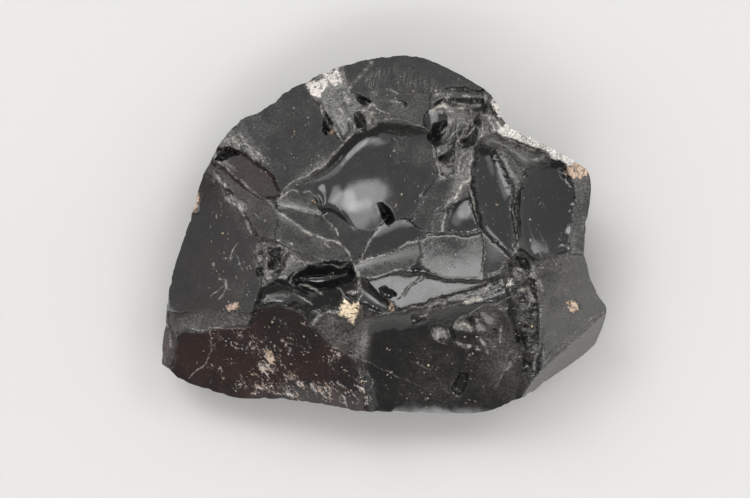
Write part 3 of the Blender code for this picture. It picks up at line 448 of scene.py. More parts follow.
FLAKES = [Flake(*row) for row in [
    # The bowl: rippled flakes on its right, and the strips under its lip.
    ("near", 0.25, 0.03, [5.3-10.3j, 6.6-10.1j, 7.2-11j, 7.1-12.1j, 6.2-11.8j, 5.5-11j]),
    ("low", 0.3, 0, [6.9-10.4j, 7.6-10.2j, 8.2-11.4j, 7.8-12.2j, 7.3-11.4j]),
    ("near", 0.3, 0.04, [8-10.2j, 8.9-9.6j, 9.8-10.2j, 10-10.9j, 9.2-10.5j, 8.3-10.7j]),
    ("low", 0.45, 0, [9-9.5j, 9.8-9.1j, 10.5-9.6j, 10.3-10.4j, 9.6-10.1j]),
    ("near", 0.3, 0.06, [10.4-8.6j, 11.4-8.4j, 12.3-9.2j, 12.2-10.2j, 11.3-10j, 10.8-9.4j]),
    ("near", 0.35, 0.05, [10.2-9.6j, 10.9-9.8j, 11.6-10.6j, 11-11j, 10.3-10.5j]),
    ("low", 0.3, 0, [11.3-10.9j, 12.4-10.4j, 12.8-11.4j, 12-12j, 11.4-11.6j]),
    ("near", 0.2, 0.03, [4.9-8.2j, 6.9-7.6j, 7-7.2j, 5-7.8j]),
    ("near", 0.22, 0.1, [8.7-7.5j, 9.8-7.3j, 11.1-6.9j, 11-6.5j, 9.6-6.8j, 8.9-7.1j]),
    ("low", 0.3, 0, [5.2-8.3j, 8.7-7.5j, 8.9-7.1j, 7.2-7.3j]),
    ("low", 0.35, 0, [3.1-9.3j, 4-8.9j, 4.6-9.3j, 4-10j, 3.3-10.1j]),
    ("low", 0.7, 0, [8.6-15.4j, 9.3-15.6j, 9-17.2j, 8.4-17.8j, 7.9-17.2j, 8.1-16.2j]),
    ("near", 0.15, 0.02, [13.2-8.4j, 14-7.4j, 14.4-8j, 13.6-9j]),
    # The valley at the right.
    ("near", 0.35, 0.05, [14-3.3j, 14.9-3.9j, 15.6-4.6j, 15.2-5.1j, 14.2-4.6j]),
    ("low", 0.6, 0, [15-2.6j, 15.6-2.7j, 16.3-4j, 15.9-4.3j, 15.2-3.6j]),
    ("left", 0.4, 0.05, [15.6-5.6j, 16.2-5.6j, 16.7-6.9j, 16.4-7.4j, 15.9-6.6j]),
    ("near", 0.3, 0.02, [14.8-7j, 15.6-6.9j, 16-7.8j, 15.4-8.3j, 14.8-7.8j]),
    ("low", 0.5, 0, [14.2-6.6j, 14.7-6.8j, 15.2-9.2j, 15.3-11.6j, 14.9-11.8j, 14.6-9.4j]),
    ("near", 0.4, 0.04, [16-9.4j, 16.9-9.2j, 17-9.9j, 16.2-10.1j]),
    ("far", 0.4, 0.01, [15.6-10.2j, 16.9-10.4j, 16.8-12.2j, 16-12.8j, 15.5-11.6j]),
    ("low", 0.5, 0, [15.6-12.8j, 16.6-12.9j, 16.6-14.2j, 15.8-15.2j, 15.6-14j]),
    ("near", 0.2, 0.05, [14.2-13.4j, 14.6-13.4j, 13.6-15.2j, 13-16.4j, 12.9-15.8j]),
    # The crushed pocket and the slope beside it.
    ("near", 0.4, 0.05, [-14.4-0.8j, -13.2-0.8j, -12.8-1.4j, -13.6-1.7j, -14.4-1.4j]),
    ("low", 0.6, 0, [-13-1.4j, -12.2-1.2j, -11.6-1.6j, -11.9-2.2j, -12.7-2.1j]),
    ("left", 0.4, 0.04, [-14.4-2.2j, -13.6-2j, -13.2-2.8j, -13.8-3.4j, -14.4-2.9j]),
    ("low", 0.6, 0, [-12.9-2.4j, -11.6-2.4j, -11.4-3.3j, -12-3.9j, -12.8-3.5j]),
    ("near", 0.35, 0.05, [-11.8-2j, -11.2-1.6j, -10.7-2.2j, -11.1-3j, -11.5-2.6j]),
    ("near", 0.4, 0.05, [-13.4-3.8j, -12.6-3.7j, -12.4-4.6j, -13-5.1j, -13.5-4.6j]),
    ("low", 0.4, 0, [-14.2-3.7j, -13.5-3.6j, -13.5-4.4j, -14.1-4.4j]),
    # The brown pit's upper edge and the chips along the spar.
    ("near", 0.3, 0.1, [-17.3+10.4j, -16.6+11.1j, -15.9+10.6j, -16.4+10j, -17.1+9.9j]),
    ("left", 0.25, 0.08, [-15.4+9.8j, -14.8+9.8j, -14+8.6j, -14.4+8.1j, -15.2+8.9j]),
    ("near", 0.3, 0.08, [-14.2+8.9j, -13.4+8.8j, -12.9+8.2j, -13.6+7.9j]),
    ("low", 0.5, 0, [-18.6+9.3j, -17.4+9.6j, -16.6+9.2j, -17.6+8.8j, -18.6+8.7j]),
    ("left", 0.2, 0.06, [-19+7.2j, -18.5+7j, -17.9+6j, -18.3+5.8j, -18.9+6.5j]),
    ("low", 0.25, 0, [-18.2+5.4j, -17.6+5.4j, -17+4.6j, -17.5+4.4j]),
    ("left", 0.25, 0.07, [-17.9+5j, -17.4+4.6j, -16.8+3.6j, -17.1+3.3j, -17.7+4j]),
    ("near", 0.25, 0.08, [-16.7+3.6j, -15.9+4j, -15.3+3.4j, -15.9+2.7j, -16.5+2.9j]),
    # The dark eye in the glossy dish.
    ("dark", 0.35, 0, [-1.3+4.3j, -0.7+4.4j, -0.1+3.8j, 0.3+2.8j, 0.5+1.9j, -0.1+2.3j, -0.7+3j, -1.2+3.7j]),
    # The black spot at the bright band's end.
    ("dark", 0.35, 0, [-0.7-5.9j, -0.2-5.7j, 0.5-5.7j, 1.1-6.1j, 1.2-6.6j, 0.7-6.9j, 0-6.8j, -0.5-6.4j]),
    # The black strip over the bright band.
    ("dark", 0.35, 0, [1.4-3.8j, 2.8-3.4j, 4.4-3.4j, 5.2-3.9j, 5.3-4.4j, 4.2-4.25j, 3-3.95j, 2.2-4j]),
    # The hub.
    ("low", 0.5, 0, [6+14.7j, 6.9+15.4j, 9+15.3j, 10.9+15j, 11+14.5j, 8.8+14.8j, 7+14.8j]),
    ("near", 0.2, 0.08, [5.2+13.7j, 6+14.2j, 7.6+14.1j, 9.4+13.7j, 9.3+13.4j, 7.2+13.7j, 5.6+13.4j]),
    ("low", 0.4, 0, [5.3+11j, 5.5+13j, 6.3+13.4j, 6.8+13j, 6.5+11.8j, 5.8+10.8j]),
    ("near", 0.3, 0.04, [5.6+10.3j, 6.6+10.4j, 7.4+11.8j, 7.7+12.9j, 7.2+13.1j, 6.9+11.9j]),
    ("low", 0.6, 0, [9+10.5j, 9.8+10.4j, 10.3+11.7j, 10.1+12.5j, 9.5+12j]),
    ("near", 0.35, 0.04, [8.5+11j, 8.8+10.9j, 10+12.9j, 9.8+13.1j]),
    ("left", 0.3, 0.03, [6.8+8.9j, 7.1+8.7j, 8.6+10.5j, 9.6+12.3j, 9.2+12.2j]),
    ("low", 0.3, 0, [6.3+8.4j, 7+8.3j, 8.3+9.9j, 8.4+10.5j, 7.4+9.7j]),
    ("near", 0.25, 0.03, [6.2+6.6j, 7.6+6.7j, 7.6+7.6j, 6.8+8j, 6.1+7.4j]),
    ("far", 0.25, 0.02, [6.3+8.2j, 6.9+8j, 7.7+8.2j, 8+9.5j, 7.2+9.2j]),
    ("near", 0.4, 0.05, [10.2+12.6j, 10.5+12.4j, 11.2+14.3j, 10.9+14.7j]),
    ("right", 0.3, 0.06, [11+12.3j, 11.4+12.1j, 12+13j, 11.6+14j]),
    ("near", 0.3, 0.05, [8.9+9.9j, 9.4+9.7j, 9.9+10.3j, 9.2+10.4j]),
    # The crown, and the strip between it and the shoulder.
    ("near", 0.12, 0.02, [0.4+15.1j, 1.6+15j, 2.4+14.6j, 1.4+14.4j, 0.6+14.7j]),
    ("low", 0.2, 0, [-3.9+16j, -3.2+16.6j, -2.5+15.6j, -1.6+14.9j, -2.6+14.8j, -3.6+15.3j]),
    ("near", 0.25, 0.07, [-1.9+12.2j, -1.3+12.5j, -1.5+13.6j, -2.2+14.2j, -2.4+13.4j]),
    ("low", 0.25, 0, [-2.8+12.6j, -2.3+12.5j, -2.6+13.6j, -3.4+14.8j, -3.5+14j]),
    ("left", 0.2, 0.04, [-5.5+14.4j, -4.9+14.2j, -3.9+11.6j, -4.5+10.8j, -5.4+12.4j]),
    ("low", 0.25, 0, [-7+14.6j, -6.6+14.6j, -6+12.4j, -6.3+12j, -7+13.4j]),
]]

# A thin line: how much dust lies on it, on some lines standing for a painted highlight (less than none: an open
# crack), its width to each side, and its places.
Line = namedtuple("Line", "film width places")

LINES = [Line(*row) for row in [
    # Worn ridges of the spar, its toe and the small plates beside them.
    (0.22, 0.12, [-18.5+8.3j, -17+7j, -15+5.1j, -13+3.8j, -12+3j]),
    (0.36, 0.13, [
        -12.2+3j, -11+2.1j, -9.8+1.2j, -9+0.6j, -8.2+0.2j, -7.4-0.1j, -6.6-0.35j, -5.8-0.6j, -5-1j, -4.2-1.6j,
        -3.9-1.9j]),
    (0.18, 0.08, [-6.8-0.3j, -6.4-1.1j, -6.1-1.3j]),
    (0.22, 0.1, [-3.8-2.1j, -3.4-3.4j, -3-4j]),
    (0.16, 0.12, [-6.8+2.2j, -5.9+1.2j, -5.2+0.3j, -4.9-0.4j, -4.6-1.4j]),
    (0.14, 0.06, [-11.4+3.6j, -9.8+2.8j, -8.2+2.4j, -6.8+2.2j]),
    (0.2, 0.08, [-12+4j, -10.2+4.9j, -8.2+4.8j, -7.2+3.9j, -6.8+2.4j]),
    (-1, 0.09, [-10.6-1.4j, -9.5-1.9j, -8.2-2.4j, -7-2.9j, -5.5-2.95j, -4-2.7j]),
    (0.25, 0.12, [-10.2-2.4j, -9.4-2.9j, -8.4-3.2j, -7-3.3j, -5.2-3.45j, -4-3.1j]),
    (0.22, 0.12, [-10.3-5.2j, -10.1-4.6j, -9.5-3.9j, -8.7-3.5j]),
    (-1, 0.08, [-10.6-4.8j, -10.4-4.3j, -9.8-3.6j, -9.2-3.25j]),
    # The next three lines are painted highlights: the bright arcs along the two shells' lower rims, laid on as dust.
    (0.4, 0.13, [-9.5-5.6j, -8.6-5.6j, -7.8-6j, -7-6.6j]),
    (0.36, 0.12, [-9.6-6.8j, -8.9-7j, -8.3-7.4j, -7.9-7.7j]),
    (0.09, 0.32, [-13.3-7.1j, -12-7j, -10.6-6.6j, -9.8-6.4j]),
    (-1, 0.1, [-13.5-5.7j, -12.5-5.1j, -11.2-5.6j, -9.9-5.5j]),
    # The crushed pocket.
    (0.4, 0.13, [-14-0.3j, -13.4-0.9j, -12.4-1.3j, -11.6-1.2j, -10.9-1.5j, -10.7-1.9j, -11.1-2.3j]),
    (-1, 0.08, [-13.6-0.6j, -12.2-0.95j, -11.2-0.9j, -10.5-1.3j]),
    (0.29, 0.12, [-11.4-2.9j, -11.4-3.6j, -12.1-3.9j, -12.8-4.1j]),
    (0.43, 0.22, [-13.2-3.9j, -12.9-4.5j, -12.7-4.8j]),
    (0.4, 0.2, [-14-2.3j, -13.7-2.8j]),
    (0.32, 0.12, [-14.5-1.8j, -14.2-2.1j]),
    (0.4, 0.1, [-11.7-0.65j, -11.6-0.7j]),
    (0.4, 0.1, [-10.5-0.85j, -10.4-0.9j]),
    # Scratches and chips on the flank.
    (0.25, 0.08, [-16.2-0.9j, -16.8-1.6j, -17-2j, -17.2-2.7j]),
    (0.2, 0.06, [-16.5-2.2j, -16.2-3j, -15.7-3.9j]),
    (0.36, 0.12, [-18.3-4.8j, -17.6-5.1j]),
    (0.25, 0.1, [-17.6-5.3j, -17.5-5.8j, -18-6.6j, -18.4-7.1j]),
    (0.16, 0.07, [-19.4-6.9j, -18.6-6.1j, -17.7-5.6j]),
    (0.32, 0.13, [-18.9+6.9j, -18.2+6j, -17.6+5.4j]),
    (0.32, 0.14, [-17.2+4.6j, -16.6+3.6j, -16+3j, -15.6+2.2j]),
    (0.25, 0.12, [-15.3+1.6j, -15+1j, -14.8+0.2j]),
    (0.16, 0.07, [-14.3+2.3j, -13.7+1.9j, -13.2+1.6j]),
    (0.14, 0.12, [-24.1-5j, -24.3-9.5j, -24-12.5j]),
    (0.16, 0.07, [-22-10.6j, -19-10.5j, -15.5-10.4j]),
    (0.13, 0.08, [-19.5-10.2j, -19.3-13j, -20-14.5j, -22-16j]),
    # Veins by the cream crust.
    (0.32, 0.15, [-5-8.5j, -6-8.5j, -6.8-8.9j, -7.6-9.3j, -8-10j]),
    (0.25, 0.11, [-4.6-7j, -4.4-6.6j, -4.9-6j, -5.2-5.8j]),
    (0.36, 0.15, [-3.9-6.5j, -3-6j, -2.7-5.2j, -2.8-4.4j, -3.2-3.8j]),
    (0.25, 0.11, [-2.8-7.2j, -2.4-6.4j, -2.7-5.4j]),
    # The ledge over the glossy dish, and cracks across it.
    (0.16, 0.09, [-11.4+4.6j, -10+5.9j, -8.4+6.7j]),
    (0.2, 0.13, [-8.4+6.7j, -6.3+8.1j, -4.8+9.9j, -3.2+11.3j, -2+12.1j]),
    (0.14, 0.09, [-2+12.1j, -1+12.6j, 0.2+12.8j, 1.3+12.8j, 2.8+12.5j, 4+12j, 4.9+11.4j]),
    (-1, 0.09, [0.4+11.6j, 1.4+11.5j, 2.2+11.7j, 3+12.1j]),
    (-1, 0.07, [1+7j, 1.3+7.9j, 2.2+8.25j, 4+8.1j, 4.8+8.1j, 5.4+8.3j]),
    (-0.8, 0.06, [0.3+2j, 1.5+1.6j, 2.9+1.5j, 4+0.6j, 5.2+0.1j]),
    (-0.8, 0.06, [3+1.7j, 3.8+3j, 4.2+4.2j, 4.6+5.4j, 5.3+6.4j]),
    (0.29, 0.13, [4+4.3j, 4.4+4.1j]),
    (0.22, 0.09, [4.2+4.6j, 4.2+3.8j]),
    (0.12, 0.07, [0.3+1.9j, -0.8+0.8j, -1.7-0.8j, -2.5-3j]),
    (-1, 0.1, [-5.4+3.1j, -4.2+1.9j, -3.5+0.7j]),
    (0.32, 0.1, [-3.6+0.9j, -3.3+0.6j]),
    # The bright band under the dish and the round plate.
    (0.22, 0.1, [-2.7-3.1j, -1-2.5j, 0.5-2j, 2-1.3j, 4-0.6j, 5.2+0.1j]),
    (0.16, 0.1, [5.9-2.5j, 5.1-3j, 5.1-3.8j, 5.8-4.3j, 6.6-4.6j, 8-4.8j, 10.7-4.75j]),
    (0.25, 0.16, [4.2-2.8j, 4.7-3.2j, 5.2-3.8j]),
    (0.36, 0.12, [11-2.2j, 11.1-2.8j, 10.9-3.6j, 10.7-4.6j]),
    (0.22, 0.08, [10.9+0.2j, 11.1-2.2j]),
    (0.16, 0.1, [11.7-4.6j, 11.6-4.4j, 12.3-4.2j, 12.8-3.8j, 13.2-3.6j]),
    (-0.8, 0.08, [12-4.5j, 12.7-4.2j, 13.2-3.9j]),
    (-0.7, 0.06, [1.5-7j, 2.6-5.9j, 4.2-4.6j]),
    (-0.7, 0.05, [2.2-6.8j, 3.4-5.6j, 4.6-4.8j]),
    # Strips along the lip.
    (0.36, 0.13, [8.4-7j, 9.3-6.8j, 10-6.5j, 11-6.3j, 11.5-5.8j, 11.9-5.6j]),
    (0.22, 0.09, [10.2-6.7j, 11-6.65j, 11.8-6.4j, 12.2-6.2j]),
    (0.26, 0.14, [5-8.4j, 5.6-8j, 6.3-7.7j, 6.9-7.5j]),
    (0.5, 0.2, [8.8-7.5j, 9.6-7.3j, 10.4-7.1j, 11.1-6.95j]),
    (-1, 0.12, [5-8.8j, 6.5-8.1j, 7.4-7.75j, 8.5-7.25j]),
    (0.32, 0.13, [3.8-9.1j, 4.4-8.9j, 4.8-8.7j]),
    (0.36, 0.13, [3.2-9.55j, 3.4-9.6j]),
    (0.1, 0.08, [-1-8.9j, 1.6-8.6j, 3-8.2j, 5-7.6j, 7-7.2j, 8.2-6.9j]),
    (0.17, 0.12, [8-9.8j, 9-9j, 10-8.4j, 11.3-7.8j, 12.3-7.6j, 13.4-7.2j, 14.2-6.8j]),
    (0.29, 0.2, [12.8-8.1j, 13.4-8.4j, 13.6-8.9j]),
    # Chips in the bowl; their bright lines are dust and painted glints on the chips.
    (0.22, 0.09, [5.3-10.7j, 5.7-11.5j, 6.4-12.1j, 7-12.3j]),
    (0.4, 0.13, [6-10.6j, 6.1-11.4j]),
    (0.4, 0.12, [6.5-10.8j, 6.8-11.7j]),
    (0.32, 0.1, [7.1-10.5j, 7.3-11.3j]),
    (0.5, 0.18, [8-10.2j, 8.5-9.9j, 9-9.8j, 9.5-10.1j, 9.8-10.7j]),
    (0.36, 0.15, [10.2-9.3j, 10.4-10j, 10.8-10.6j]),
    (-1, 0.13, [10.6-9.1j, 11-9.7j, 11.3-10.3j]),
    (0.32, 0.2, [8.2-11.9j, 9-12.4j, 9.5-12.5j]),
    (0.25, 0.16, [10.9-11.6j, 11.3-12.4j, 11.6-13.2j]),
    (0.22, 0.09, [13-10.3j, 13.1-11.2j, 12.9-12.2j]),
    (0.16, 0.1, [14.8-13.3j, 14.3-14j, 13.4-15.4j, 12.4-17.2j]),
    (0.07, 0.07, [-3-13.7j, -1-14.6j, 1-15.6j, 4-17j]),
    (0.05, 0.07, [3-14j, 5.5-15.4j, 7.6-18j]),
    (0.09, 0.07, [-1.2-16.5j, -1.6-15.6j, -2.5-15.5j, -3.1-16.3j, -2.7-17.3j, -1.6-17.4j, -1.2-16.6j]),
    # The valley and the spur.
    (0.17, 0.08, [14.6-7.1j, 15.2-6.8j, 16-7j, 16.1-7.8j, 15.6-8.4j, 15.2-8.2j, 14.6-7.2j]),
    # This line is a painted highlight: the bright curve in the valley.
    (0.43, 0.19, [15-6.1j, 15.8-6j, 16.4-6.6j, 16.7-7.3j]),
    (0.4, 0.16, [14.4-3.6j, 15.2-3.9j, 15.9-4.6j]),
    (0.43, 0.13, [16.3-3.9j, 16.6-4.6j]),
    (0.14, 0.1, [16.2-3j, 17-4.6j, 17.6-6.2j]),
    (0.14, 0.12, [16.8-8.9j, 17.2-9.6j, 17.5-11.2j, 17.2-13j, 16.6-15j]),
    (0.25, 0.12, [15.4-9.3j, 15.6-10.6j]),
    (-1, 0.12, [14.9-8.6j, 15.1-10.4j, 15.2-12.2j, 15.8-14.4j]),
    (0.08, 0.1, [17.8-14.4j, 19.5-12.6j, 21.5-10.6j, 24.4-8.6j]),
    # The blade, the right hollow's rim and the crest.
    (0.16, 0.1, [14.6+5.4j, 14.3+3j, 14.5+0j, 15.1-2.2j]),
    (-1, 0.13, [14.1+6.2j, 14+3.6j, 14.1+1j, 14.6-1.4j]),
    (0.4, 0.12, [14.4-1j, 14.9-2j]),
    (0.29, 0.12, [14.2+1.6j, 14.3+0.4j]),
    # This line is a painted highlight: the bright streak along the blade's upper right rim.
    (0.16, 0.2, [12.4+9.2j, 13+8.5j, 13.6+7.7j, 14.1+6.9j, 14.6+5.6j]),
    (0.17, 0.09, [12.8+11.1j, 14+10.3j, 16+9.7j, 18.5+8.8j, 20.4+8.1j]),
    (-0.8, 0.09, [13.6+9.4j, 14.6+8.4j, 15.5+7.3j]),
    (0.32, 0.15, [11.9+13.2j, 12.6+12.2j, 13.4+11.4j, 14.4+10.9j]),
    (0.06, 0.1, [16+1.4j, 16.6-0.6j, 17.6-2.4j]),
    (0.05, 0.1, [17.2+0.6j, 18-1.6j, 19.4-3.6j]),
    # Ridges that cross between the hub and the middle, and the sail.
    (0.36, 0.11, [9.5+8.9j, 9.5+7.6j, 9.4+6.4j, 9.4+5.4j, 9.6+4.4j, 9.9+3.4j]),
    (0.23, 0.08, [9.9+3.4j, 10.4+1j, 11+0.1j, 12.2-1.2j, 13.8-2.7j]),
    (0.43, 0.13, [9.4+5.9j, 8.9+5.9j, 8.4+5.1j, 7.8+4.1j, 7.2+3.3j, 6.9+2.8j]),
    (0.22, 0.12, [6.9+2.8j, 6.6+1.6j, 6.4+0.4j, 5.2+0.1j]),
    (0.22, 0.08, [8.4+7j, 8.8+7.3j, 9.1+8.6j]),
    (0.36, 0.1, [9.3+9.2j, 8.8+9.1j, 8.4+8.4j, 8.2+7.6j, 8.2+6.8j]),
    (-1, 0.11, [8.9+8.9j, 8.6+8j, 8.4+7.3j]),
    (0.29, 0.11, [5.4+10j, 5.5+9j, 5.8+8.2j, 5.8+7.2j, 6.1+6.5j, 6.6+6.3j]),
    (-1, 0.11, [5.6+7.4j, 5.6+6.7j]),
    (0.12, 0.12, [7+0.3j, 8.8+0.1j, 10.6+0.4j]),
    # The hub.
    (0.43, 0.18, [5.1+13.8j, 6+14.1j, 7.4+13.9j, 8.6+13.9j, 9.6+13.7j]),
    (-1, 0.1, [7.4+13.45j, 8.4+13.4j, 9.3+13.5j]),
    (0.18, 0.1, [5.4+13.3j, 5.5+12.4j, 5.2+11.8j, 5.2+11j]),
    (0.29, 0.22, [7+12.9j, 7.4+12.7j, 7.3+12.4j]),
    (0.2, 0.12, [7.3+12.2j, 6.8+11.7j, 6.4+11.3j]),
    (0.22, 0.1, [8.3+12.2j, 8+11.5j, 7.4+11j, 6.9+10.4j]),
    (0.43, 0.11, [9.3+12.1j, 8.9+11.5j, 8.6+11.1j]),
    (0.29, 0.09, [9.9+11.9j, 9.4+11.2j, 8.9+10.8j]),
    (0.22, 0.09, [8.6+11j, 8.3+10.5j, 8.1+10.1j]),
    (0.32, 0.09, [7.5+9.8j, 7+9.2j, 6.4+8.8j]),
    (0.29, 0.13, [8.7+10.2j, 8.4+9.7j, 8.3+9j]),
    (0.29, 0.12, [5.5+9.6j, 6+9.3j]),
    (0.29, 0.1, [11.6+12.6j, 11.9+12j, 12.1+11.4j]),
    (0.25, 0.09, [11.3+12.5j, 11.3+11.7j]),
    (0.29, 0.1, [11+12.4j, 10.9+11.5j, 10.6+10.8j]),
    (0.29, 0.13, [10.6+13j, 11.2+13.2j, 11.8+12.9j]),
    (0.32, 0.12, [11.2+15.3j, 11.2+14.5j]),
    (0.25, 0.16, [5.6+15.5j, 6.6+15.6j, 7.6+15.5j]),
    (0.25, 0.13, [8.7+15.45j, 9.5+15.35j]),
    (0.32, 0.14, [7.7+14.8j, 8.1+14.8j]),
    (0.29, 0.1, [6.4+14.5j, 6.7+15j, 7.2+15.1j]),
    (0.22, 0.16, [8.4+14.6j, 9.6+14.3j, 10.6+14.3j]),
    (-1, 0.12, [7+16.4j, 8.6+16j, 10.6+15.6j]),
    (0.36, 0.13, [7.5+16.25j, 7.6+16.2j]),
    # The crown and the strip between it and the shoulder.
    (0.12, 0.18, [-1.4+19.4j, -2.3+18j, -3+17.3j, -3.8+16.5j, -4+15.9j]),
    (0.2, 0.09, [-1.9+14.9j, -1.2+14.2j, -0.4+13.7j, 0.4+13.5j]),
    # These four short strokes across the crown are painted highlight streaks.
    (0.16, 0.17, [0.4+15j, 1.2+14.7j, 2+14.4j]),
    (0.12, 0.12, [0.2+16.3j, 0.9+16j, 1.6+15.7j]),
    (0.1, 0.1, [-1.7+16.5j, -1.1+16j]),
    (0.1, 0.1, [-1.6+15.9j, -0.9+15.4j]),
    (0.29, 0.13, [-7+14.4j, -6.9+13.2j, -6.3+12.3j, -5.9+11.8j]),
    (0.18, 0.09, [-6.5+14.2j, -6.1+13.2j, -5.6+12j, -4.9+10.8j]),
    (0.32, 0.13, [-5+14.2j, -4.4+13.4j, -3.8+12.6j, -3.2+11.8j]),
    (-1, 0.14, [-4.6+14.6j, -4.2+13.9j, -3.9+13.3j]),
    (-1, 0.12, [-6.7+14.3j, -6.4+13.4j, -6+12.5j]),
    (0.29, 0.2, [-4.3+15.3j, -3.9+14.7j]),
    (0.36, 0.22, [-1.9+12.4j, -1.4+12.9j, -1.2+13.5j]),
    (0.25, 0.13, [-2.6+13.9j, -1.9+13.8j, -1.4+14.2j]),
    (0.22, 0.1, [-17.8+10.6j, -16.2+11.2j, -14.9+9.8j, -13.4+8.6j]),
    (0.4, 0.14, [-16.9+10.6j, -16.3+10.4j, -16+10.1j]),
    (0.32, 0.13, [-14.6+9.2j, -14.1+8.6j]),
]]

# Fine parallel streaks: painted highlight streaks across the crown, laid on as dust. How much of this film lies on
# them, and the outline of the place.
Streaks = namedtuple("Streaks", "film outline")

STREAKED = [
    Streaks(0.035, [
        -2.2+17.6j, -0.6+18.5j, 2+18.6j, 4+17.8j, 6.4+16.8j, 6+15.9j, 3.4+16.2j, 1.6+16.5j, 0+16.6j, -2+16.7j]),
    Streaks(0.04, [-2+17.2j, -0.6+17.2j, -0.4+15.5j, -1.6+15.4j]),
]

# A crust patch: its colour (a name in the crust's settings), how thick it is, and its outline.
Crust = namedtuple("Crust", "color height outline")

CRUSTS = [
    Crust("cream", 0.25, [
        -4.5-7j, -4.1-7.3j, -3.7-7.8j, -3.5-7.3j, -2.7-7.3j, -2.6-8.2j, -2.9-9j, -3.2-9.9j, -3.9-9.6j, -4.2-9.2j,
        -5-8.9j, -5-8.2j]),
    Crust("peach", 0.06, [0.5-7.4j, 1.2-7.6j, 1.1-8.6j, 0.6-8.4j]),
    Crust("peach", 0.1, [-13.6-12.7j, -12.8-12.9j, -11.9-14.3j, -12.2-15.1j, -13.2-14.1j]),
    Crust("pink", 0.15, [-22.2+2.8j, -21.9+4.5j, -21+5.6j, -20.3+4.4j, -20.9+2.8j]),
    Crust("white", 0.2, [11.8+14.8j, 12.4+15.1j, 13.4+13.4j, 13.3+12.7j, 12.6+12.9j, 12.1+13.9j]),
    Crust("peach", 0.12, [20.1+6.6j, 21.4+6.2j, 22.8+6.6j, 23+7.6j, 21.6+8.3j, 20.3+7.6j]),
    Crust("white", 0.2, [
        -8.8+16.6j, -7.9+17.4j, -7+17.4j, -6.8+18.3j, -5.6+18.4j, -5+18.7j, -4.6+17.5j, -4.7+16.8j, -5.4+16.6j,
        -6+16.6j, -6.5+16j, -6.8+15.4j, -8.2+15.5j]),
    Crust("ochre", 0.05, [-6.2+11.2j, -5.9+11.7j, -5.4+11.5j, -5.6+11j]),
    Crust("ochre", 0.05, [-8+3.4j, -7.6+3.3j, -7.5+3.7j, -7.8+3.8j]),
    Crust("peach", 0.04, [20.3-8.2j, 20.9-8.7j, 21.8-8.3j, 21.7-7.6j, 21-7.2j, 20.4-7.5j]),
    Crust("white", 0.1, [13.6-5j, 14.2-4.9j, 14.4-5.4j, 14-5.8j, 13.5-5.6j]),
    Crust("pink", 0.04, [-17.8-8j, -17.3-7.6j, -16.2-7.4j, -16.1-8.2j, -17.2-8.7j]),
]

# A gritty place: how much of it the grit covers, and its outline.
Grit = namedtuple("Grit", "share outline")

GRITTY = [Grit(*row) for row in [
    (0.53, [
        -15.4-13.4j, -12.4-13j, -10.6-15.6j, -8.6-16j, -5-15.4j, -1.8-16j, -0.8-19.4j, -6-19.4j, -12-18.6j,
        -16.4-17.4j, -14.6-15.6j]),
    (0.5, [-17-10.6j, -15.6-10.6j, -12.6-13j, -11-16j, -13.6-16j, -16-13j]),
    (0.36, [-16-8.6j, -10-8.4j, -5-10j, -1.4-14.4j, -1-19j, -18-18j, -21-15j, -20-11j]),
    (0.42, [7.6-12.3j, 9-11.2j, 11.6-11j, 12.6-12j, 12.4-13.6j, 9.6-15.4j, 8-13.6j]),
    (0.22, [-19-7j, -15.6-6.8j, -15-9.6j, -19.6-9.6j]),
    (0.3, [13.6-3j, 16.6-3j, 17.4-8j, 16.4-15.6j, 14.8-12j, 13.6-6j]),
    (0.34, [5.6+1j, 6.8+1j, 9.6+6j, 9.4+9.6j, 7+9.6j, 5.6+8j, 7.4+5.6j]),
    (0.42, [1.1+9.6j, 1.6+10.4j, 2.4+10.2j, 2.4+8.8j, 1.8+8.2j, 1.1+8.6j]),
    (0.4, [-6.8-4j, -5.6-4.2j, -5.4-5j, -6.6-5j]),
    (0.4, [-15+0j, -13-0.4j, -11-2.6j, -12.6-5j, -14.2-4.4j, -15-1.6j]),
    (0.36, [-16.4+3j, -15.4+2.8j, -14.8+0.2j, -15.6-0.4j, -16.4+1j]),
    (0.34, [-8+9.6j, -6.8+11.2j, -5.2+10j, -6.6+8.2j, -9.4+6.6j, -10+7.4j]),
    (0.38, [-18.6+10j, -16.6+11.6j, -13+9j, -13+8j, -15.4+8.8j]),
    (0.4, [-3+14.6j, -0.6+14.4j, 0.4+13j, -1.4+12.4j, -2.6+13j]),
    (0.3, [18-7j, 22.4-7j, 21.6-9.6j, 18.6-11j]),
    (0.3, [15.6+1j, 20.6+0j, 20.8-3.4j, 16.6-2.8j]),
    # A scatter of specks on the plain plates.
    (0.24, [15.4+5j, 20+6.5j, 22.4+0j, 21.4-6j, 18-6j, 15.4-1j]),
    (0.22, [-1.6-2.8j, 5.6+0j, 10.8+0.2j, 13.2-3.4j, 9.6-4.6j, 3.6-3.4j]),
    (0.22, [10.2+8.6j, 13+7.6j, 14+3j, 13.8-1.6j, 11.4+0.2j, 10+4j]),
    (0.24, [-21.4-2j, -19+5j, -16.6+4.6j, -13.4+0.6j, -15-7j, -21.6-7.6j]),
    (0.21, [-17+10.6j, -11+15j, -8.2+14.6j, -6.8+11.4j, -10.6+6.2j, -13+5.4j]),
    (0.22, [0.4+19j, 7+18.4j, 9.6+16.4j, 5+14j, -0.6+15j]),
    (0.22, [1.4+7.6j, 5.4+8j, 5+4.4j, 3.4+1.8j, 0.8+2.2j, 0.4+5j]),
    (0.24, [-1-13j, 6-12.6j, 12-15j, 13-18.6j, 2-19.2j, -1-16j]),
]]

# Rings that run out from where a blow fell: height, wavelength, the blow's place, and where they show.
Ripple = namedtuple("Ripple", "height length source middle reach")

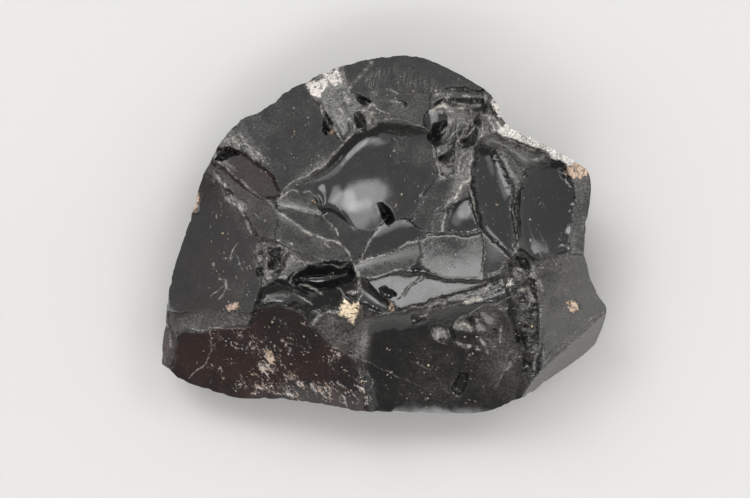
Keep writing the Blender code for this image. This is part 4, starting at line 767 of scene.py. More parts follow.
RIPPLES = [
    Ripple(0.01, 1.3, (1.5, 10), (2.5, 16.6), 3),
    Ripple(0.014, 2.6, (-6, -3), (4, -13.5), 5),
    Ripple(0.006, 2.2, (-8, 6), (-19, 0), 5),
    Ripple(0.006, 1.8, (11, 12), (18, 3), 4),
]

# Haze: dust spread over an oval place; the one on the bowl's left wall is a painted highlight. A negative film is a
# wiped place.
Haze = namedtuple("Haze", "film middle long wide turn")

HAZES = [
    Haze(0.04, (-7.6, 7.4), 2, 0.7, 40),
    Haze(0.012, (-16, -6.5), 1.6, 2.4, 0),
    Haze(0.045, (13.4, -13.5), 2.2, 3.6, 0),
    Haze(0.01, (6.5, -17.5), 4, 2, 0),
    Haze(0.022, (4.4, 9.2), 1.3, 1.5, 0),
    Haze(0.016, (4.5, -8.2), 6, 0.9, 12),
    Haze(0.01, (5.5, -14), 3, 2, 0),
    # A painted highlight: the pale arc down the bowl's left wall.
    Haze(0.13, (-2.3, -11.8), 0.6, 1.9, -8),
    Haze(0.03, (-4.8, 12.8), 0.8, 1.6, 30),
    Haze(0.01, (18.5, -2), 2.5, 1.4, -20),
    Haze(0.025, (12.2, 10.5), 1.6, 0.7, -8),
    Haze(0.06, (8.4, 6), 0.6, 1.6, -20),
    Haze(0.05, (6.6, 7.2), 0.9, 0.9, 0),
    Haze(0.05, (-10.4, -3), 0.5, 1.4, -40),
    Haze(0.04, (11.5, -9.5), 0.8, 1, 0),
]

# ---------------------------------------------------------------------------------------------------------------
# Shapes as functions of place. Everywhere x and y are arrays of any one shape.
# ---------------------------------------------------------------------------------------------------------------


def waves(x, y, length, seed, count=12):
    """Smooth noise of about unit size: a sum of sine waves of nearly one length, in seeded directions."""
    rng = np.random.default_rng(seed)
    turns, shifts = rng.uniform(0.0, 2.0 * np.pi, (2, count))
    rates = 2.0 * np.pi / length * rng.uniform(0.7, 1.4, count)
    total = np.zeros(np.shape(x))
    for turn, shift, rate in zip(turns, shifts, rates):
        total += np.sin(rate * (x * np.cos(turn) + y * np.sin(turn)) + shift)
    return total / np.sqrt(count)


def smooth_step(low, high, value):
    """Rise from 0 at low to 1 at high along a cubic that is level at both ends."""
    share = np.clip((value - low) / (high - low), 0.0, 1.0)
    return share * share * (3.0 - 2.0 * share)


def places_of(marks):
    """Turn places written as complex numbers into rows of x and y."""
    marks = np.array(marks)
    return np.stack([marks.real, marks.imag], axis=-1)


def rounded(places, rounds=2):
    """Cut the gentle corners of an outline: each becomes two places a quarter of the way along its edges."""
    for _ in range(rounds):
        into = places - np.roll(places, 1, axis=0)
        away = np.roll(places, -1, axis=0) - places
        turns = np.arctan2(into[:, 0] * away[:, 1] - into[:, 1] * away[:, 0], np.sum(into * away, axis=1))
        kept = []
        for place, arrive, leave, turn in zip(places, into, away, turns):
            gentle = abs(turn) < GENTLE_TURN
            kept += [place - arrive / 4.0, place + leave / 4.0] if gentle else [place]
        places = np.array(kept)
    return places


def edge_gap(corners, x, y):
    """Distance to a closed outline, negative inside it: the nearest of its edges, signed by crossings."""
    nearest = np.full(x.shape, np.inf)
    inside = np.zeros(x.shape, bool)
    for (ax, ay), (bx, by) in zip(corners, np.roll(corners, -1, axis=0)):
        ex, ey = bx - ax, by - ay
        along = np.clip(((x - ax) * ex + (y - ay) * ey) / (ex * ex + ey * ey), 0.0, 1.0)
        nearest = np.minimum(nearest, np.hypot(x - ax - along * ex, y - ay - along * ey))
        if ey != 0.0:
            inside ^= ((ay > y) != (by > y)) & (x < ax + (y - ay) * ex / ey)
    return np.where(inside, -nearest, nearest)


def cover_of(outline, fade, x, y):
    """How far an outline covers each place: 1 inside it, falling to 0 outside it over twice the given fade."""
    return smooth_step(fade, -fade, edge_gap(rounded(places_of(outline)), x, y))


def form_height(form, x, y):
    """Height of an overall form: a sheet stretched through its places, distance kernels plus a level plane."""
    known = np.array(form, float)
    corners = known[:, :2]
    count = len(known)
    gaps = np.linalg.norm(corners[:, None] - corners[None], axis=2)
    level = np.c_[np.ones(count), corners]
    system = np.block([[gaps, level], [level.T, np.zeros((3, 3))]])
    weights = np.linalg.solve(system, np.r_[known[:, 2], np.zeros(3)])
    height = weights[count] + weights[count + 1] * x + weights[count + 2] * y
    for (cx, cy), weight in zip(corners, weights[:count]):
        height = height + weight * np.hypot(x - cx, y - cy)
    return height


def scar_surface(scar, form, side):
    """Return a scar's surface as a function of place, with its middle and reach.

    A plane laid through the overall form at the outline's corners, less the drop, less a dish (an elliptic
    paraboloid as wide as the outline), plus a wall that rises outside the outline along a rounded ramp. The wall is
    read at wobbled places unless the scar is a straight one, and a roll rounds its foot more on one side. side is +1
    for the upper face and -1 for the underside, turned over to match.
    """
    outline = places_of(scar.outline)
    middle = outline.mean(axis=0)
    arms = outline - middle
    level = np.c_[np.ones(len(arms)), arms]
    plane = np.linalg.lstsq(level, form_height(form, outline[:, 0], outline[:, 1]), rcond=None)[0]
    rise_x, rise_y = scar.rise or (side * plane[1] + scar.lean[0], side * plane[2] + scar.lean[1])
    spread = np.linalg.inv(arms.T @ arms / len(arms)) / 2.0
    edge = rounded(outline)

    def surface(x, y, edge_x, edge_y):
        dx, dy = x - middle[0], y - middle[1]
        span = spread[0, 0] * dx * dx + 2.0 * spread[0, 1] * dx * dy + spread[1, 1] * dy * dy
        bowl = scar.dish * (1.0 - np.minimum(span, DISH_LIMIT))
        gap = (edge_gap(edge, x, y) if scar.straight else edge_gap(edge, edge_x, edge_y)) - SCAR_OVERLAP
        fillet = scar.fillet
        if scar.roll:
            turn = np.radians(scar.roll[0])
            rolled = smooth_step(0.0, ROLL_REACH, dx * np.cos(turn) + dy * np.sin(turn))
            fillet = fillet + (scar.roll[1] - fillet) * rolled
        wall = scar.wall * fillet * np.logaddexp(0.0, gap / fillet)
        return side * plane[0] + rise_x * dx + rise_y * dy + wall - scar.drop - bowl

    return surface, middle, np.hypot(*arms.T).max() + SCAR_REACH


def flake_surface(flake, ground):
    """Return a flake's surface as a function of place, with its middle and reach: a plane with a steep wall.

    ground gives the surface that it is struck from.
    """
    outline = places_of(flake.outline)
    middle = outline.mean(axis=0)
    height = ground(middle[:1], middle[1:])[0] - flake.depth
    rise_x, rise_y = FACINGS[flake.facing]
    edge = rounded(outline)

    def surface(x, y, edge_x, edge_y):
        gap = edge_gap(edge, edge_x, edge_y)
        wall = FLAKE_WALL * FLAKE_FILLET * np.logaddexp(0.0, gap / FLAKE_FILLET)
        return height + rise_x * (x - middle[0]) + rise_y * (y - middle[1]) + wall

    return surface, middle, np.hypot(*(outline - middle).T).max() + FLAKE_REACH


def facets(x, y, place, seed):
    """Angular facets: random heights at the corners of a stretched, bent net, straight across each half square.

    Gives the height over the ground, from -1 to 1, and a random share that is the same all over a square.
    """
    turn = np.radians(place.along)
    bend = FACET_BEND * place.size
    bent_x = x + bend * waves(x, y, FACET_BEND_LENGTH * place.size, seed + 1, FACET_BEND_WAVES)
    bent_y = y + bend * waves(x, y, FACET_BEND_LENGTH * place.size, seed + 2, FACET_BEND_WAVES)
    u = (bent_x * np.cos(turn) + bent_y * np.sin(turn)) / (place.size * place.stretch)
    v = (bent_y * np.cos(turn) - bent_x * np.sin(turn)) / place.size
    if place.focus:
        arm_x, arm_y = place.focus[0] - bent_x, place.focus[1] - bent_y
        u = np.hypot(arm_x, arm_y) / (place.size * place.stretch)
        v = np.arctan2(arm_y, arm_x) * FAN_ARM / place.size
    i, j = np.floor(u).astype(int), np.floor(v).astype(int)
    u, v = u - i, v - j
    heights, shares = np.random.default_rng(seed).uniform(-1.0, 1.0, (2, FACET_TABLE, FACET_TABLE))

    def corner(right, up):
        return heights[(i + right) % FACET_TABLE, (j + up) % FACET_TABLE]

    near, far = corner(0, 0), corner(1, 1)
    right, up = corner(1, 0), corner(0, 1)
    height = np.where(u > v, near + u * (right - near) + v * (far - right), near + v * (up - near) + u * (far - up))
    return height, 0.5 + 0.5 * shares[i % FACET_TABLE, j % FACET_TABLE]


class Envelope:
    """Lowest of many surfaces over a set of places, with the runner-up, so that ridges can be found.

    Each surface is read at the places and a small step to the right and up, which gives its slopes too.
    """

    def __init__(self, x, y, wobble):
        self.x = np.stack([x, x + PROBE, x])
        self.y = np.stack([y, y, y + PROBE])
        coarse = [wobble * waves(self.x, self.y, COARSE_WOBBLE, seed) for seed in COARSE_SEEDS]
        fine = [wobble * FINE_SHARE * waves(self.x, self.y, FINE_WOBBLE, seed) for seed in FINE_SEEDS]
        self.edge_x = self.x + coarse[0] + fine[0]
        self.edge_y = self.y + coarse[1] + fine[1]
        self.low = np.full(self.x.shape, TALL)
        self.next = np.full(self.x.shape, TALL)
        self.film = np.zeros(x.shape)
        self.tint = np.zeros(x.shape)
        self.crush = np.zeros(x.shape)

    def add(self, surface, middle, reach, film, tint, soft=0.0):
        """Lay one surface over the places that it can reach. soft rounds off the ridges between it and the rest."""
        near = np.flatnonzero(np.hypot(self.x[0] - middle[0], self.y[0] - middle[1]) < reach)
        new = surface(*(part[:, near] for part in (self.x, self.y, self.edge_x, self.edge_y)))
        low, runner = self.low[:, near], self.next[:, near]
        lowest = new[0] < low[0]
        second = ~lowest & (new[0] < runner[0])
        self.next[:, near] = np.where(lowest, low, np.where(second, new, runner))
        rounding = soft * np.log1p(np.exp(-np.abs(new - low) / soft)) if soft else 0.0
        self.low[:, near] = np.minimum(new, low) - rounding
        self.film[near] = np.where(lowest, film, self.film[near])
        self.tint[near] = np.where(lowest, tint, self.tint[near])

    def shatter(self, place, seed, height):
        """Break a place up into facets that stand over and under the ground, fading out at its border."""
        corners = places_of(place.outline)
        low, high = corners.min(axis=0) - CRUSH_FADE, corners.max(axis=0) + CRUSH_FADE
        x, y = self.edge_x[0], self.edge_y[0]
        near = np.flatnonzero((x > low[0]) & (x < high[0]) & (y > low[1]) & (y < high[1]))
        x, y = self.edge_x[:, near], self.edge_y[:, near]
        cover = cover_of(place.outline, CRUSH_FADE, x, y)
        rise, share = facets(self.x[:, near], self.y[:, near], place, seed)
        finer = place._replace(size=place.size * FINE_FACET, stretch=1.0 + FINE_STRETCH * (place.stretch - 1.0),
                               along=place.along + FINE_TURN)
        fine, fine_share = facets(self.x[:, near], self.y[:, near], finer, seed + FINE_FACET_SEED)
        rise = height * place.height * cover * (rise + FINE_FACET * fine)
        self.low[:, near] += rise
        self.next[:, near] += rise
        self.film[near] += cover[0] * place.film * (share[0] ** 2 + fine_share[0] ** 2)
        self.crush[near] = np.maximum(self.crush[near], cover[0])

    def to_ridge(self):
        """Step to the nearest ridge along x and y: the lead over the runner-up, over the slope of that lead."""
        lead = self.next - self.low
        slope = (lead[1:] - lead[0]) / PROBE
        steepness = np.sum(slope * slope, axis=0) + FLAT_LEAD
        return -lead[0] * slope / steepness


def upper_face(x, y, wobble, facet_height):
    """The upper face over flat arrays of places: an envelope of the scars and the cheek, with the crushed places."""
    face = Envelope(x, y, wobble)
    scars = [(scar_surface(scar, FACE_FORM, 1), scar) for scar in
             SHOULDER_AND_CROWN + FLANK + FOOT_AND_SHELLS + MIDDLE + BOWL_AND_SPUR + RIGHT]
    cheek = np.linalg.solve(np.c_[np.array(CHEEK_PLACES)[:, :2], np.ones(3)], np.array(CHEEK_PLACES)[:, 2])

    def cheek_surface(x, y, edge_x, edge_y):
        return cheek[0] * x + cheek[1] * y + cheek[2]

    def ground(x, y):
        return np.minimum.reduce([surface(x, y, x, y) for (surface, *_), _ in scars])

    for (surface, middle, reach), scar in scars:
        face.add(surface, middle, reach, scar.film, scar.tint, scar.soft)
    face.add(cheek_surface, (0.0, 0.0), TALL * 2.0, CHEEK_FILM, 0.0)
    for flake in FLAKES:
        surface, middle, reach = flake_surface(flake, ground)
        face.add(surface, middle, reach, flake.film, 0.0)
    for seed, place in enumerate(CRUSHED, FACET_SEED):
        face.shatter(place, seed, facet_height)
    return face


def under_face(x, y, wobble):
    """The underside over flat arrays of places, turned over: an envelope of the scars from below."""
    face = Envelope(x, y, wobble)
    for scar in UNDER:
        surface, middle, reach = scar_surface(scar, UNDER_FORM, -1)
        face.add(surface, middle, reach, UNDER_FILM, 0.0)
    return face


def square_to_disc(cross):
    """Net of places in the unit disc: a square net bent so that its square rings become round ones."""
    a, b = np.meshgrid(np.linspace(-1.0, 1.0, cross), np.linspace(-1.0, 1.0, cross))
    wide = np.abs(a) > np.abs(b)
    radius = np.where(wide, a, b)
    ratio = np.where(wide, b, a) / np.where(radius == 0.0, 1.0, radius)
    angle = np.where(wide, ratio * np.pi / 4.0, np.pi / 2.0 - ratio * np.pi / 4.0)
    return radius * np.cos(angle), radius * np.sin(angle)


def rim_radius(angle):
    """Distance from the middle to the outline in a direction, read between places laid closely along it."""
    corners = rounded(places_of(OUTLINE), 1)
    along = np.linspace(0.0, 1.0, RIM_STEPS, endpoint=False)[:, None, None]
    places = (corners + along * (np.roll(corners, -1, axis=0) - corners)).reshape(-1, 2)
    directions = np.arctan2(places[:, 1], places[:, 0])
    order = np.argsort(directions)
    return np.interp(angle, directions[order], np.hypot(*places[order].T), period=2.0 * np.pi)


def rim_places(a, b):
    """Stretch places in the unit disc out to the outline, with small nicks bitten out of it."""
    angle = np.arctan2(b, a)
    radius = rim_radius(angle)
    rim_x, rim_y = radius * np.cos(angle), radius * np.sin(angle)
    chatter = np.abs(waves(rim_x, rim_y, CHATTER_LENGTH, CHATTER_SEED)) / CHATTER_PART
    nicks = np.maximum(0.0, waves(rim_x, rim_y, NICK_LENGTH, NICK_SEED)) + chatter
    radius = radius - NICK_DEPTH * nicks
    share = np.hypot(a, b)
    return share * radius * np.cos(angle), share * radius * np.sin(angle)


def net_loop(cross):
    """Numbers of the vertices along the border of a square net, anticlockwise from its first corner."""
    numbers = np.arange(cross * cross).reshape(cross, cross)
    return np.r_[numbers[0, :-1], numbers[:-1, -1], numbers[-1, :0:-1], numbers[:0:-1, 0]]


def net_triangles(cross, height):
    """Triangles of a square net: each square is split along the diagonal that stands higher in the middle."""
    numbers = np.arange(cross * cross).reshape(cross, cross)
    a, b, c, d = (part.ravel() for part in (
        numbers[:-1, :-1], numbers[:-1, 1:], numbers[1:, 1:], numbers[1:, :-1]))
    first = (height[a] + height[c] > height[b] + height[d])[:, None]
    halves = np.where(first, np.c_[a, b, c], np.c_[a, b, d]), np.where(first, np.c_[a, c, d], np.c_[b, c, d])
    return np.concatenate(halves)


def band_triangles(upper, lower):
    """Triangles of a closed band between two loops of vertices; it faces outwards where the first lies above."""
    next_upper, next_lower = np.roll(upper, -1), np.roll(lower, -1)
    return np.concatenate([np.c_[upper, lower, next_lower], np.c_[upper, next_lower, next_upper]])


def ripple_height(x, y):
    """Low rings that run out from where a blow fell: sine waves of the distance from it, fading to the sides."""
    total = np.zeros(x.shape)
    for ripple in RIPPLES:
        rings = np.sin(2.0 * np.pi * np.hypot(x - ripple.source[0], y - ripple.source[1]) / ripple.length)
        fade = np.hypot(x - ripple.middle[0], y - ripple.middle[1]) / ripple.reach
        total += ripple.height * rings * np.exp(-fade * fade)
    return total


def grit_share(x, y):
    """Share of each place that grit covers: the most that any gritty place gives it, fading at its border."""
    return np.maximum.reduce([grit.share * cover_of(grit.outline, GRIT_FADE, x, y) for grit in GRITTY])


def streak_dust_and_highlight(x, y):
    """Painted highlight streaks, laid on as dust: each streaked place's own film, fading at its border."""
    return sum(place.film * cover_of(place.outline, STREAK_FADE, x, y) for place in STREAKED)


def line_marks(x, y):
    """How many widths each place lies to one side or the other of the nearest line, and the dust on that line, which
    on some lines is a painted highlight.

    The distance across is signed, so that it runs evenly through nothing on the line itself; the dust falls off
    away from the line and past its ends. A crack has less than no dust.
    """
    nearest, offset, dust = np.full(x.shape, np.inf), np.zeros(x.shape), np.zeros(x.shape)
    for line in LINES:
        reach = max(LINE_NEAR, LINE_WIDTHS * line.width)
        places = places_of(line.places)
        for (ax, ay), (bx, by) in zip(places[:-1], places[1:]):
            long = np.hypot(bx - ax, by - ay)
            along = ((x - ax) * (bx - ax) + (y - ay) * (by - ay)) / long
            across = ((x - ax) * (by - ay) - (y - ay) * (bx - ax)) / long
            beyond = along - np.clip(along, 0.0, long)
            gap = np.hypot(beyond, across)
            closer = gap < nearest
            fade = smooth_step(reach + LINE_FADE, reach, gap) * smooth_step(2.0 * LINE_FADE, 0.0, np.abs(beyond))
            nearest = np.where(closer, gap, nearest)
            offset = np.where(closer, np.copysign(gap, across) / line.width, offset)
            dust = np.where(closer, line.film * fade, dust)
    return offset, dust


def dust_and_highlight_film(face, ridges):
    """Dust over the upper face, with painted highlights in it on the crest and the bowl's left wall: each scar's own,
    more along ridges, with haze over wide places.
    """
    x, y = face.edge_x[0], face.edge_y[0]
    film = face.film + RIDGE_FILM * ridges
    for haze in HAZES:
        dx, dy = x - haze.middle[0], y - haze.middle[1]
        turn = np.radians(haze.turn)
        long = (dx * np.cos(turn) + dy * np.sin(turn)) / haze.long
        wide = (dy * np.cos(turn) - dx * np.sin(turn)) / haze.wide
        film += haze.film * np.exp(-long * long - wide * wide)
    return np.maximum(film, 0.0)


def ridge_share(face):
    """How near each place is to a ridge: a bell of the distance to it, for ridges that turn enough to be seen."""
    lead = face.next - face.low
    turn = np.hypot(lead[1] - lead[0], lead[2] - lead[0]) / PROBE
    gap = np.hypot(*face.to_ridge()) / RIDGE_WIDTH
    return np.exp(-gap * gap) * smooth_step(*RIDGE_TURNS, turn)


def mesh_object(name, places, triangles, attributes, material):
    """Put places in millimetres and triangles into a smooth mesh with sharp ridges, and its attributes."""
    mesh = bpy.data.meshes.new(name)
    mesh.from_pydata((places * MM).tolist(), [], triangles.tolist())
    for label, values in attributes.items():
        colour = values.ndim == 2
        layer = mesh.attributes.new(label, "FLOAT_COLOR" if colour else "FLOAT", "POINT")
        layer.data.foreach_set("color" if colour else "value", values.astype(np.float32).ravel())
    mesh.shade_smooth()
    mesh.set_sharp_from_angle(angle=SHARP_TURN)
    mesh.materials.append(material)
    thing = bpy.data.objects.new(name, mesh)
    bpy.context.scene.collection.objects.link(thing)
    return thing


def chunk_mesh(settings, crust_settings):
    """Places, triangles and attributes of the whole chunk: upper face, rim and underside in one closed skin."""
    wobble, facet_height = settings.edge_wobble / MM, settings.facet_height
    x, y = (part.ravel() for part in rim_places(*square_to_disc(CROSS)))
    loop = net_loop(CROSS)
    inner = np.ones(len(x), bool)
    inner[loop] = False
    for _ in range(SNAP_ROUNDS):
        step = upper_face(x, y, wobble, facet_height).to_ridge()
        close = inner & (np.hypot(*step) < SNAP_REACH)
        x = np.where(close, x + step[0], x)
        y = np.where(close, y + step[1], y)
    face = upper_face(x, y, wobble, facet_height)
    film = dust_and_highlight_film(face, ridge_share(face))
    offset, line_dust = line_marks(face.edge_x[0], face.edge_y[0])
    swell = SWELL * waves(x, y, SWELL_LENGTH, SWELL_SEED) + SHIMMER * waves(x, y, SHIMMER_LENGTH, SHIMMER_SEED)
    z = face.low[0] + swell + ripple_height(x, y)
    crust, colour = np.zeros(x.shape), np.zeros((len(x), 4)) + (0.0, 0.0, 0.0, 1.0)
    for patch in CRUSTS:
        cover = cover_of(patch.outline, CRUST_EDGE, face.edge_x[0], face.edge_y[0])
        lumps = 1.0 - LUMP_SHARE + LUMP_SHARE * waves(x, y, LUMP_LENGTH, LUMP_SEED)
        z = z + crust_settings.height * patch.height * cover * lumps
        colour[:, :3] += (cover > crust)[:, None] * (np.array(getattr(crust_settings, patch.color)) - colour[:, :3])
        crust = np.maximum(crust, cover)
    z = np.minimum(z, HIGHEST)

    rim_x, rim_y, rim_z = x[loop], y[loop], z[loop]
    share = np.r_[np.linspace(1.0, RESTING_SHARE, UNDER_SLOPE_ROWS, endpoint=False),
                  np.linspace(RESTING_SHARE, 0.0, UNDER_ROWS - UNDER_SLOPE_ROWS + 1)][:-1, None]
    under_x, under_y = (share * rim_x).ravel(), (share * rim_y).ravel()
    below = under_face(under_x, under_y, wobble * UNDER_WOBBLE)
    under_z = np.maximum(0.0, -below.low[0])
    rough = UNDER_ROUGH * waves(under_x, under_y, UNDER_LENGTH, UNDER_SEED)
    under_z = np.maximum(0.0, under_z + rough * smooth_step(0.0, UNDER_FADE, under_z)).reshape(len(share), -1)
    under_z[0] = np.minimum(under_z[0], rim_z - THINNEST_RIM)
    down = np.arange(1, SIDE_ROWS)[:, None] / SIDE_ROWS
    dent = 1.0 - SIDE_DENT * np.abs(waves(rim_x + DENT_SHIFT * down, rim_y, DENT_LENGTH, DENT_SEED))
    side = np.stack([rim_x * dent, rim_y * dent, rim_z + down * (under_z[0] - rim_z)], axis=-1)
    places = np.concatenate([np.c_[x, y, z], side.reshape(-1, 3), np.c_[under_x, under_y, under_z.ravel()],
                             [(0.0, 0.0, 0.0)]])
    rows = SIDE_ROWS - 1 + len(share)
    rings = [loop] + list(len(x) + np.arange(rows * len(loop)).reshape(rows, -1))
    fan = np.c_[rings[-1], np.full(len(loop), len(places) - 1), np.roll(rings[-1], -1)]
    triangles = np.concatenate([net_triangles(CROSS, z)]
                               + [band_triangles(upper, lower) for upper, lower in zip(rings[:-1], rings[1:])]
                               + [fan])
    spare = len(places) - len(x)
    edge = np.zeros(spare)
    attributes = {
        "film": np.r_[film, edge + UNDER_FILM],
        "tint": np.r_[face.tint, edge],
        "crush": np.r_[face.crush, edge],
        "streaks": np.r_[streak_dust_and_highlight(x, y), edge],
        "line_offset": np.r_[offset, edge],
        "line_dust": np.r_[line_dust, edge],
        "grit": np.r_[grit_share(face.edge_x[0], face.edge_y[0]), edge],
        "crust": np.r_[crust, edge],
        "crust_colour": np.r_[colour, np.zeros((spare, 4))],
    }
    return places, triangles, attributes

# ---------------------------------------------------------------------------------------------------------------
# Shader nodes.
# ---------------------------------------------------------------------------------------------------------------


def add_node(tree, kind, inputs=None, **settings):
    """Add a node, set its settings, and feed or fill its inputs."""
    node = tree.nodes.new(kind)
    for name, value in settings.items():
        setattr(node, name, value)
    for name, value in (inputs or {}).items():
        if isinstance(value, bpy.types.NodeSocket):
            tree.links.new(value, node.inputs[name])
        else:
            node.inputs[name].default_value = value
    return node


def sum_up(tree, operation, first, second=0.0, third=0.0):
    """Add a Math node and return what it puts out."""
    return add_node(tree, "ShaderNodeMath", {0: first, 1: second, 2: third}, operation=operation).outputs[0]


def ramp_between(tree, value, low, high, to_low=0.0, to_high=1.0):
    """Add a smooth Map Range node and return what it puts out."""
    return add_node(
        tree, "ShaderNodeMapRange",
        {"Value": value, "From Min": low, "From Max": high, "To Min": to_low, "To Max": to_high},
        interpolation_type="SMOOTHSTEP").outputs["Result"]


def mix_colour(tree, blend, factor, first, second):
    """Add a colour Mix node and return what it puts out. Its colour sockets are numbers 6 and 7."""
    node = add_node(tree, "ShaderNodeMix", {0: factor, 6: first, 7: second}, data_type="RGBA", blend_type=blend)
    return node.outputs[2]


def noise(tree, place, scale, detail=2.0, roughness=0.5):
    """Add a Noise Texture node and return its value."""
    return add_node(tree, "ShaderNodeTexNoise",
                    {"Vector": place, "Scale": scale, "Detail": detail, "Roughness": roughness}).outputs["Fac"]


# Noise that is made into a mask or a shade: its scale per millimetre, detail and roughness, the values between which
# it rises, and what it gives below and above them.
Patchy = namedtuple("Patchy", "scale detail roughness low high to_low to_high", defaults=(0.0, 1.0))

PATCHY = {
    "dust clouds": Patchy(0.55, 5.0, 0.6, 0.3, 0.7, 0.5, 1.5),
    "dust grain": Patchy(4.0, 4.0, 0.8, 0.34, 0.68, 0.25, 1.75),
    "specked places": Patchy(0.9, 4.0, 0.7, 0.38, 0.66, 0.15, 1.0),
    "specks": Patchy(3.4, 5.0, 0.9, 0.56, 0.74),
    "brown bands": Patchy(0.22, 5.0, 0.65, 0.36, 0.62, 0.15, 1.0),
    "worn lines": Patchy(1.4, 4.0, 0.7, 0.36, 0.62, 0.10, 0.85),
    "strokes": Patchy(1.0, 2.0, 0.6, 0.44, 0.64),
    "ragged crust": Patchy(2.2, 6.0, 0.85, 0.34, 0.66, -0.68, 0.45),
    "crust mottle": Patchy(3.2, 3.0, 0.7, 0.3, 0.7, 0.62, 1.15),
    "grain mottle": Patchy(5.0, 3.0, 0.7, 0.3, 0.7, 0.7, 1.1),
}


def patchy(tree, place, name):
    """Add the noise and the ramp of one of the masks and shades above, and return what the ramp puts out."""
    scale, detail, roughness, *ramp = PATCHY[name]
    return ramp_between(tree, noise(tree, place, scale, detail, roughness), *ramp)


def new_group(name, inputs, outputs):
    """Start a node group with the given sockets; return it, its input node and its output node."""
    group = bpy.data.node_groups.new(name, "ShaderNodeTree")
    for label, kind, value in inputs:
        socket = group.interface.new_socket(label, in_out="INPUT", socket_type=kind)
        if value is not None:
            socket.default_value = value
    for label, kind in outputs:
        group.interface.new_socket(label, in_out="OUTPUT", socket_type=kind)
    return group, group.nodes.new("NodeGroupInput"), group.nodes.new("NodeGroupOutput")


def dust_group():
    """Dust on glass: a film broken up by clouds and fine grain, with bright motes lying on it."""
    group, given, result = new_group("dust on glass", [
        ("Place", "NodeSocketVector", None), ("Film", "NodeSocketFloat", 0.02),
        ("Motes", "NodeSocketFloat", 0.3), ("Specks", "NodeSocketFloat", 0.1)],
        [("Film", "NodeSocketFloat"), ("Height", "NodeSocketFloat")])
    place, film = given.outputs["Place"], given.outputs["Film"]
    clouds = patchy(group, place, "dust clouds")
    grain = patchy(group, place, "dust grain")
    patches = patchy(group, place, "specked places")
    salt = patchy(group, place, "specks")
    specks = sum_up(group, "MULTIPLY", sum_up(group, "MULTIPLY", salt, patches), given.outputs["Specks"])
    broken = sum_up(group, "MULTIPLY", sum_up(group, "MULTIPLY", film, clouds), grain)
    cells = add_node(group, "ShaderNodeTexVoronoi", {"Vector": place, "Scale": MOTE_SCALE})
    picked = add_node(group, "ShaderNodeSeparateColor", {"Color": cells.outputs["Color"]})
    size = ramp_between(group, picked.outputs["Red"], MOTE_SHARE, 1.0, 0.0, LARGEST_MOTE)
    spot = ramp_between(group, sum_up(group, "SUBTRACT", size, cells.outputs["Distance"]), 0.0, MOTE_EDGE)
    mote = sum_up(group, "MULTIPLY", sum_up(group, "MULTIPLY", spot, picked.outputs["Green"]), given.outputs["Motes"])
    total = sum_up(group, "ADD", sum_up(group, "ADD", broken, specks), mote)
    group.links.new(total, result.inputs["Film"])
    group.links.new(sum_up(group, "MULTIPLY", broken, grain), result.inputs["Height"])
    return group


def grit_group():
    """Mineral grit: ragged specks of several sizes that cover a given share of the surface."""
    group, given, result = new_group("mineral grit", [
        ("Place", "NodeSocketVector", None), ("Share", "NodeSocketFloat", 0.2)],
        [("Cover", "NodeSocketFloat"), ("Shade", "NodeSocketFloat")])
    place, share = given.outputs["Place"], given.outputs["Share"]
    drawn = add_node(group, "ShaderNodeMapping", {
        "Vector": place, "Rotation": (0.0, 0.0, GRIT_TURN), "Scale": GRIT_STRETCH},
        vector_type="TEXTURE").outputs[0]
    coarse = noise(group, drawn, 0.7, 3.0, 0.6)
    fine = noise(group, drawn, 3.8, 5.0, 0.85)
    field = sum_up(group, "ADD", sum_up(group, "MULTIPLY", coarse, 1.0 - FINE_GRIT),
                   sum_up(group, "MULTIPLY", fine, FINE_GRIT))
    level = ramp_between(group, share, 0.0, 1.0, *GRIT_LEVELS)
    above = sum_up(group, "SUBTRACT", field, level)
    cover = ramp_between(group, above, *GRIT_EDGE)
    some = ramp_between(group, share, *GRIT_START)
    group.links.new(sum_up(group, "MULTIPLY", cover, some), result.inputs["Cover"])
    group.links.new(noise(group, place, 1.7, 1.0), result.inputs["Shade"])
    return group


def chipped_group():
    """Crushed glass: the height of a pile of tiny flat splinters."""
    group, given, result = new_group("crushed glass", [
        ("Place", "NodeSocketVector", None)], [("Height", "NodeSocketFloat")])
    bent = add_node(group, "ShaderNodeVectorMath", {
        0: given.outputs["Place"],
        1: add_node(group, "ShaderNodeTexNoise", {"Vector": given.outputs["Place"], "Scale": 1.2}).outputs["Color"]},
        operation="ADD").outputs[0]
    large = add_node(group, "ShaderNodeTexVoronoi", {"Vector": bent, "Scale": 2.4}).outputs["Distance"]
    small = add_node(group, "ShaderNodeTexVoronoi", {"Vector": bent, "Scale": 5.5}).outputs["Distance"]
    height = sum_up(group, "MULTIPLY_ADD", small, SMALL_SPLINTER, large)
    group.links.new(height, result.inputs["Height"])
    return group


def attribute(tree, name):
    """Add an Attribute node for one of the mesh's own layers."""
    return add_node(tree, "ShaderNodeAttribute", attribute_name=name, attribute_type="GEOMETRY")


def millimetres(tree):
    """Object coordinates, in millimetres."""
    place = add_node(tree, "ShaderNodeTexCoord").outputs["Object"]
    return add_node(tree, "ShaderNodeVectorMath", {0: place, "Scale": 1.0 / MM}, operation="SCALE").outputs[0]


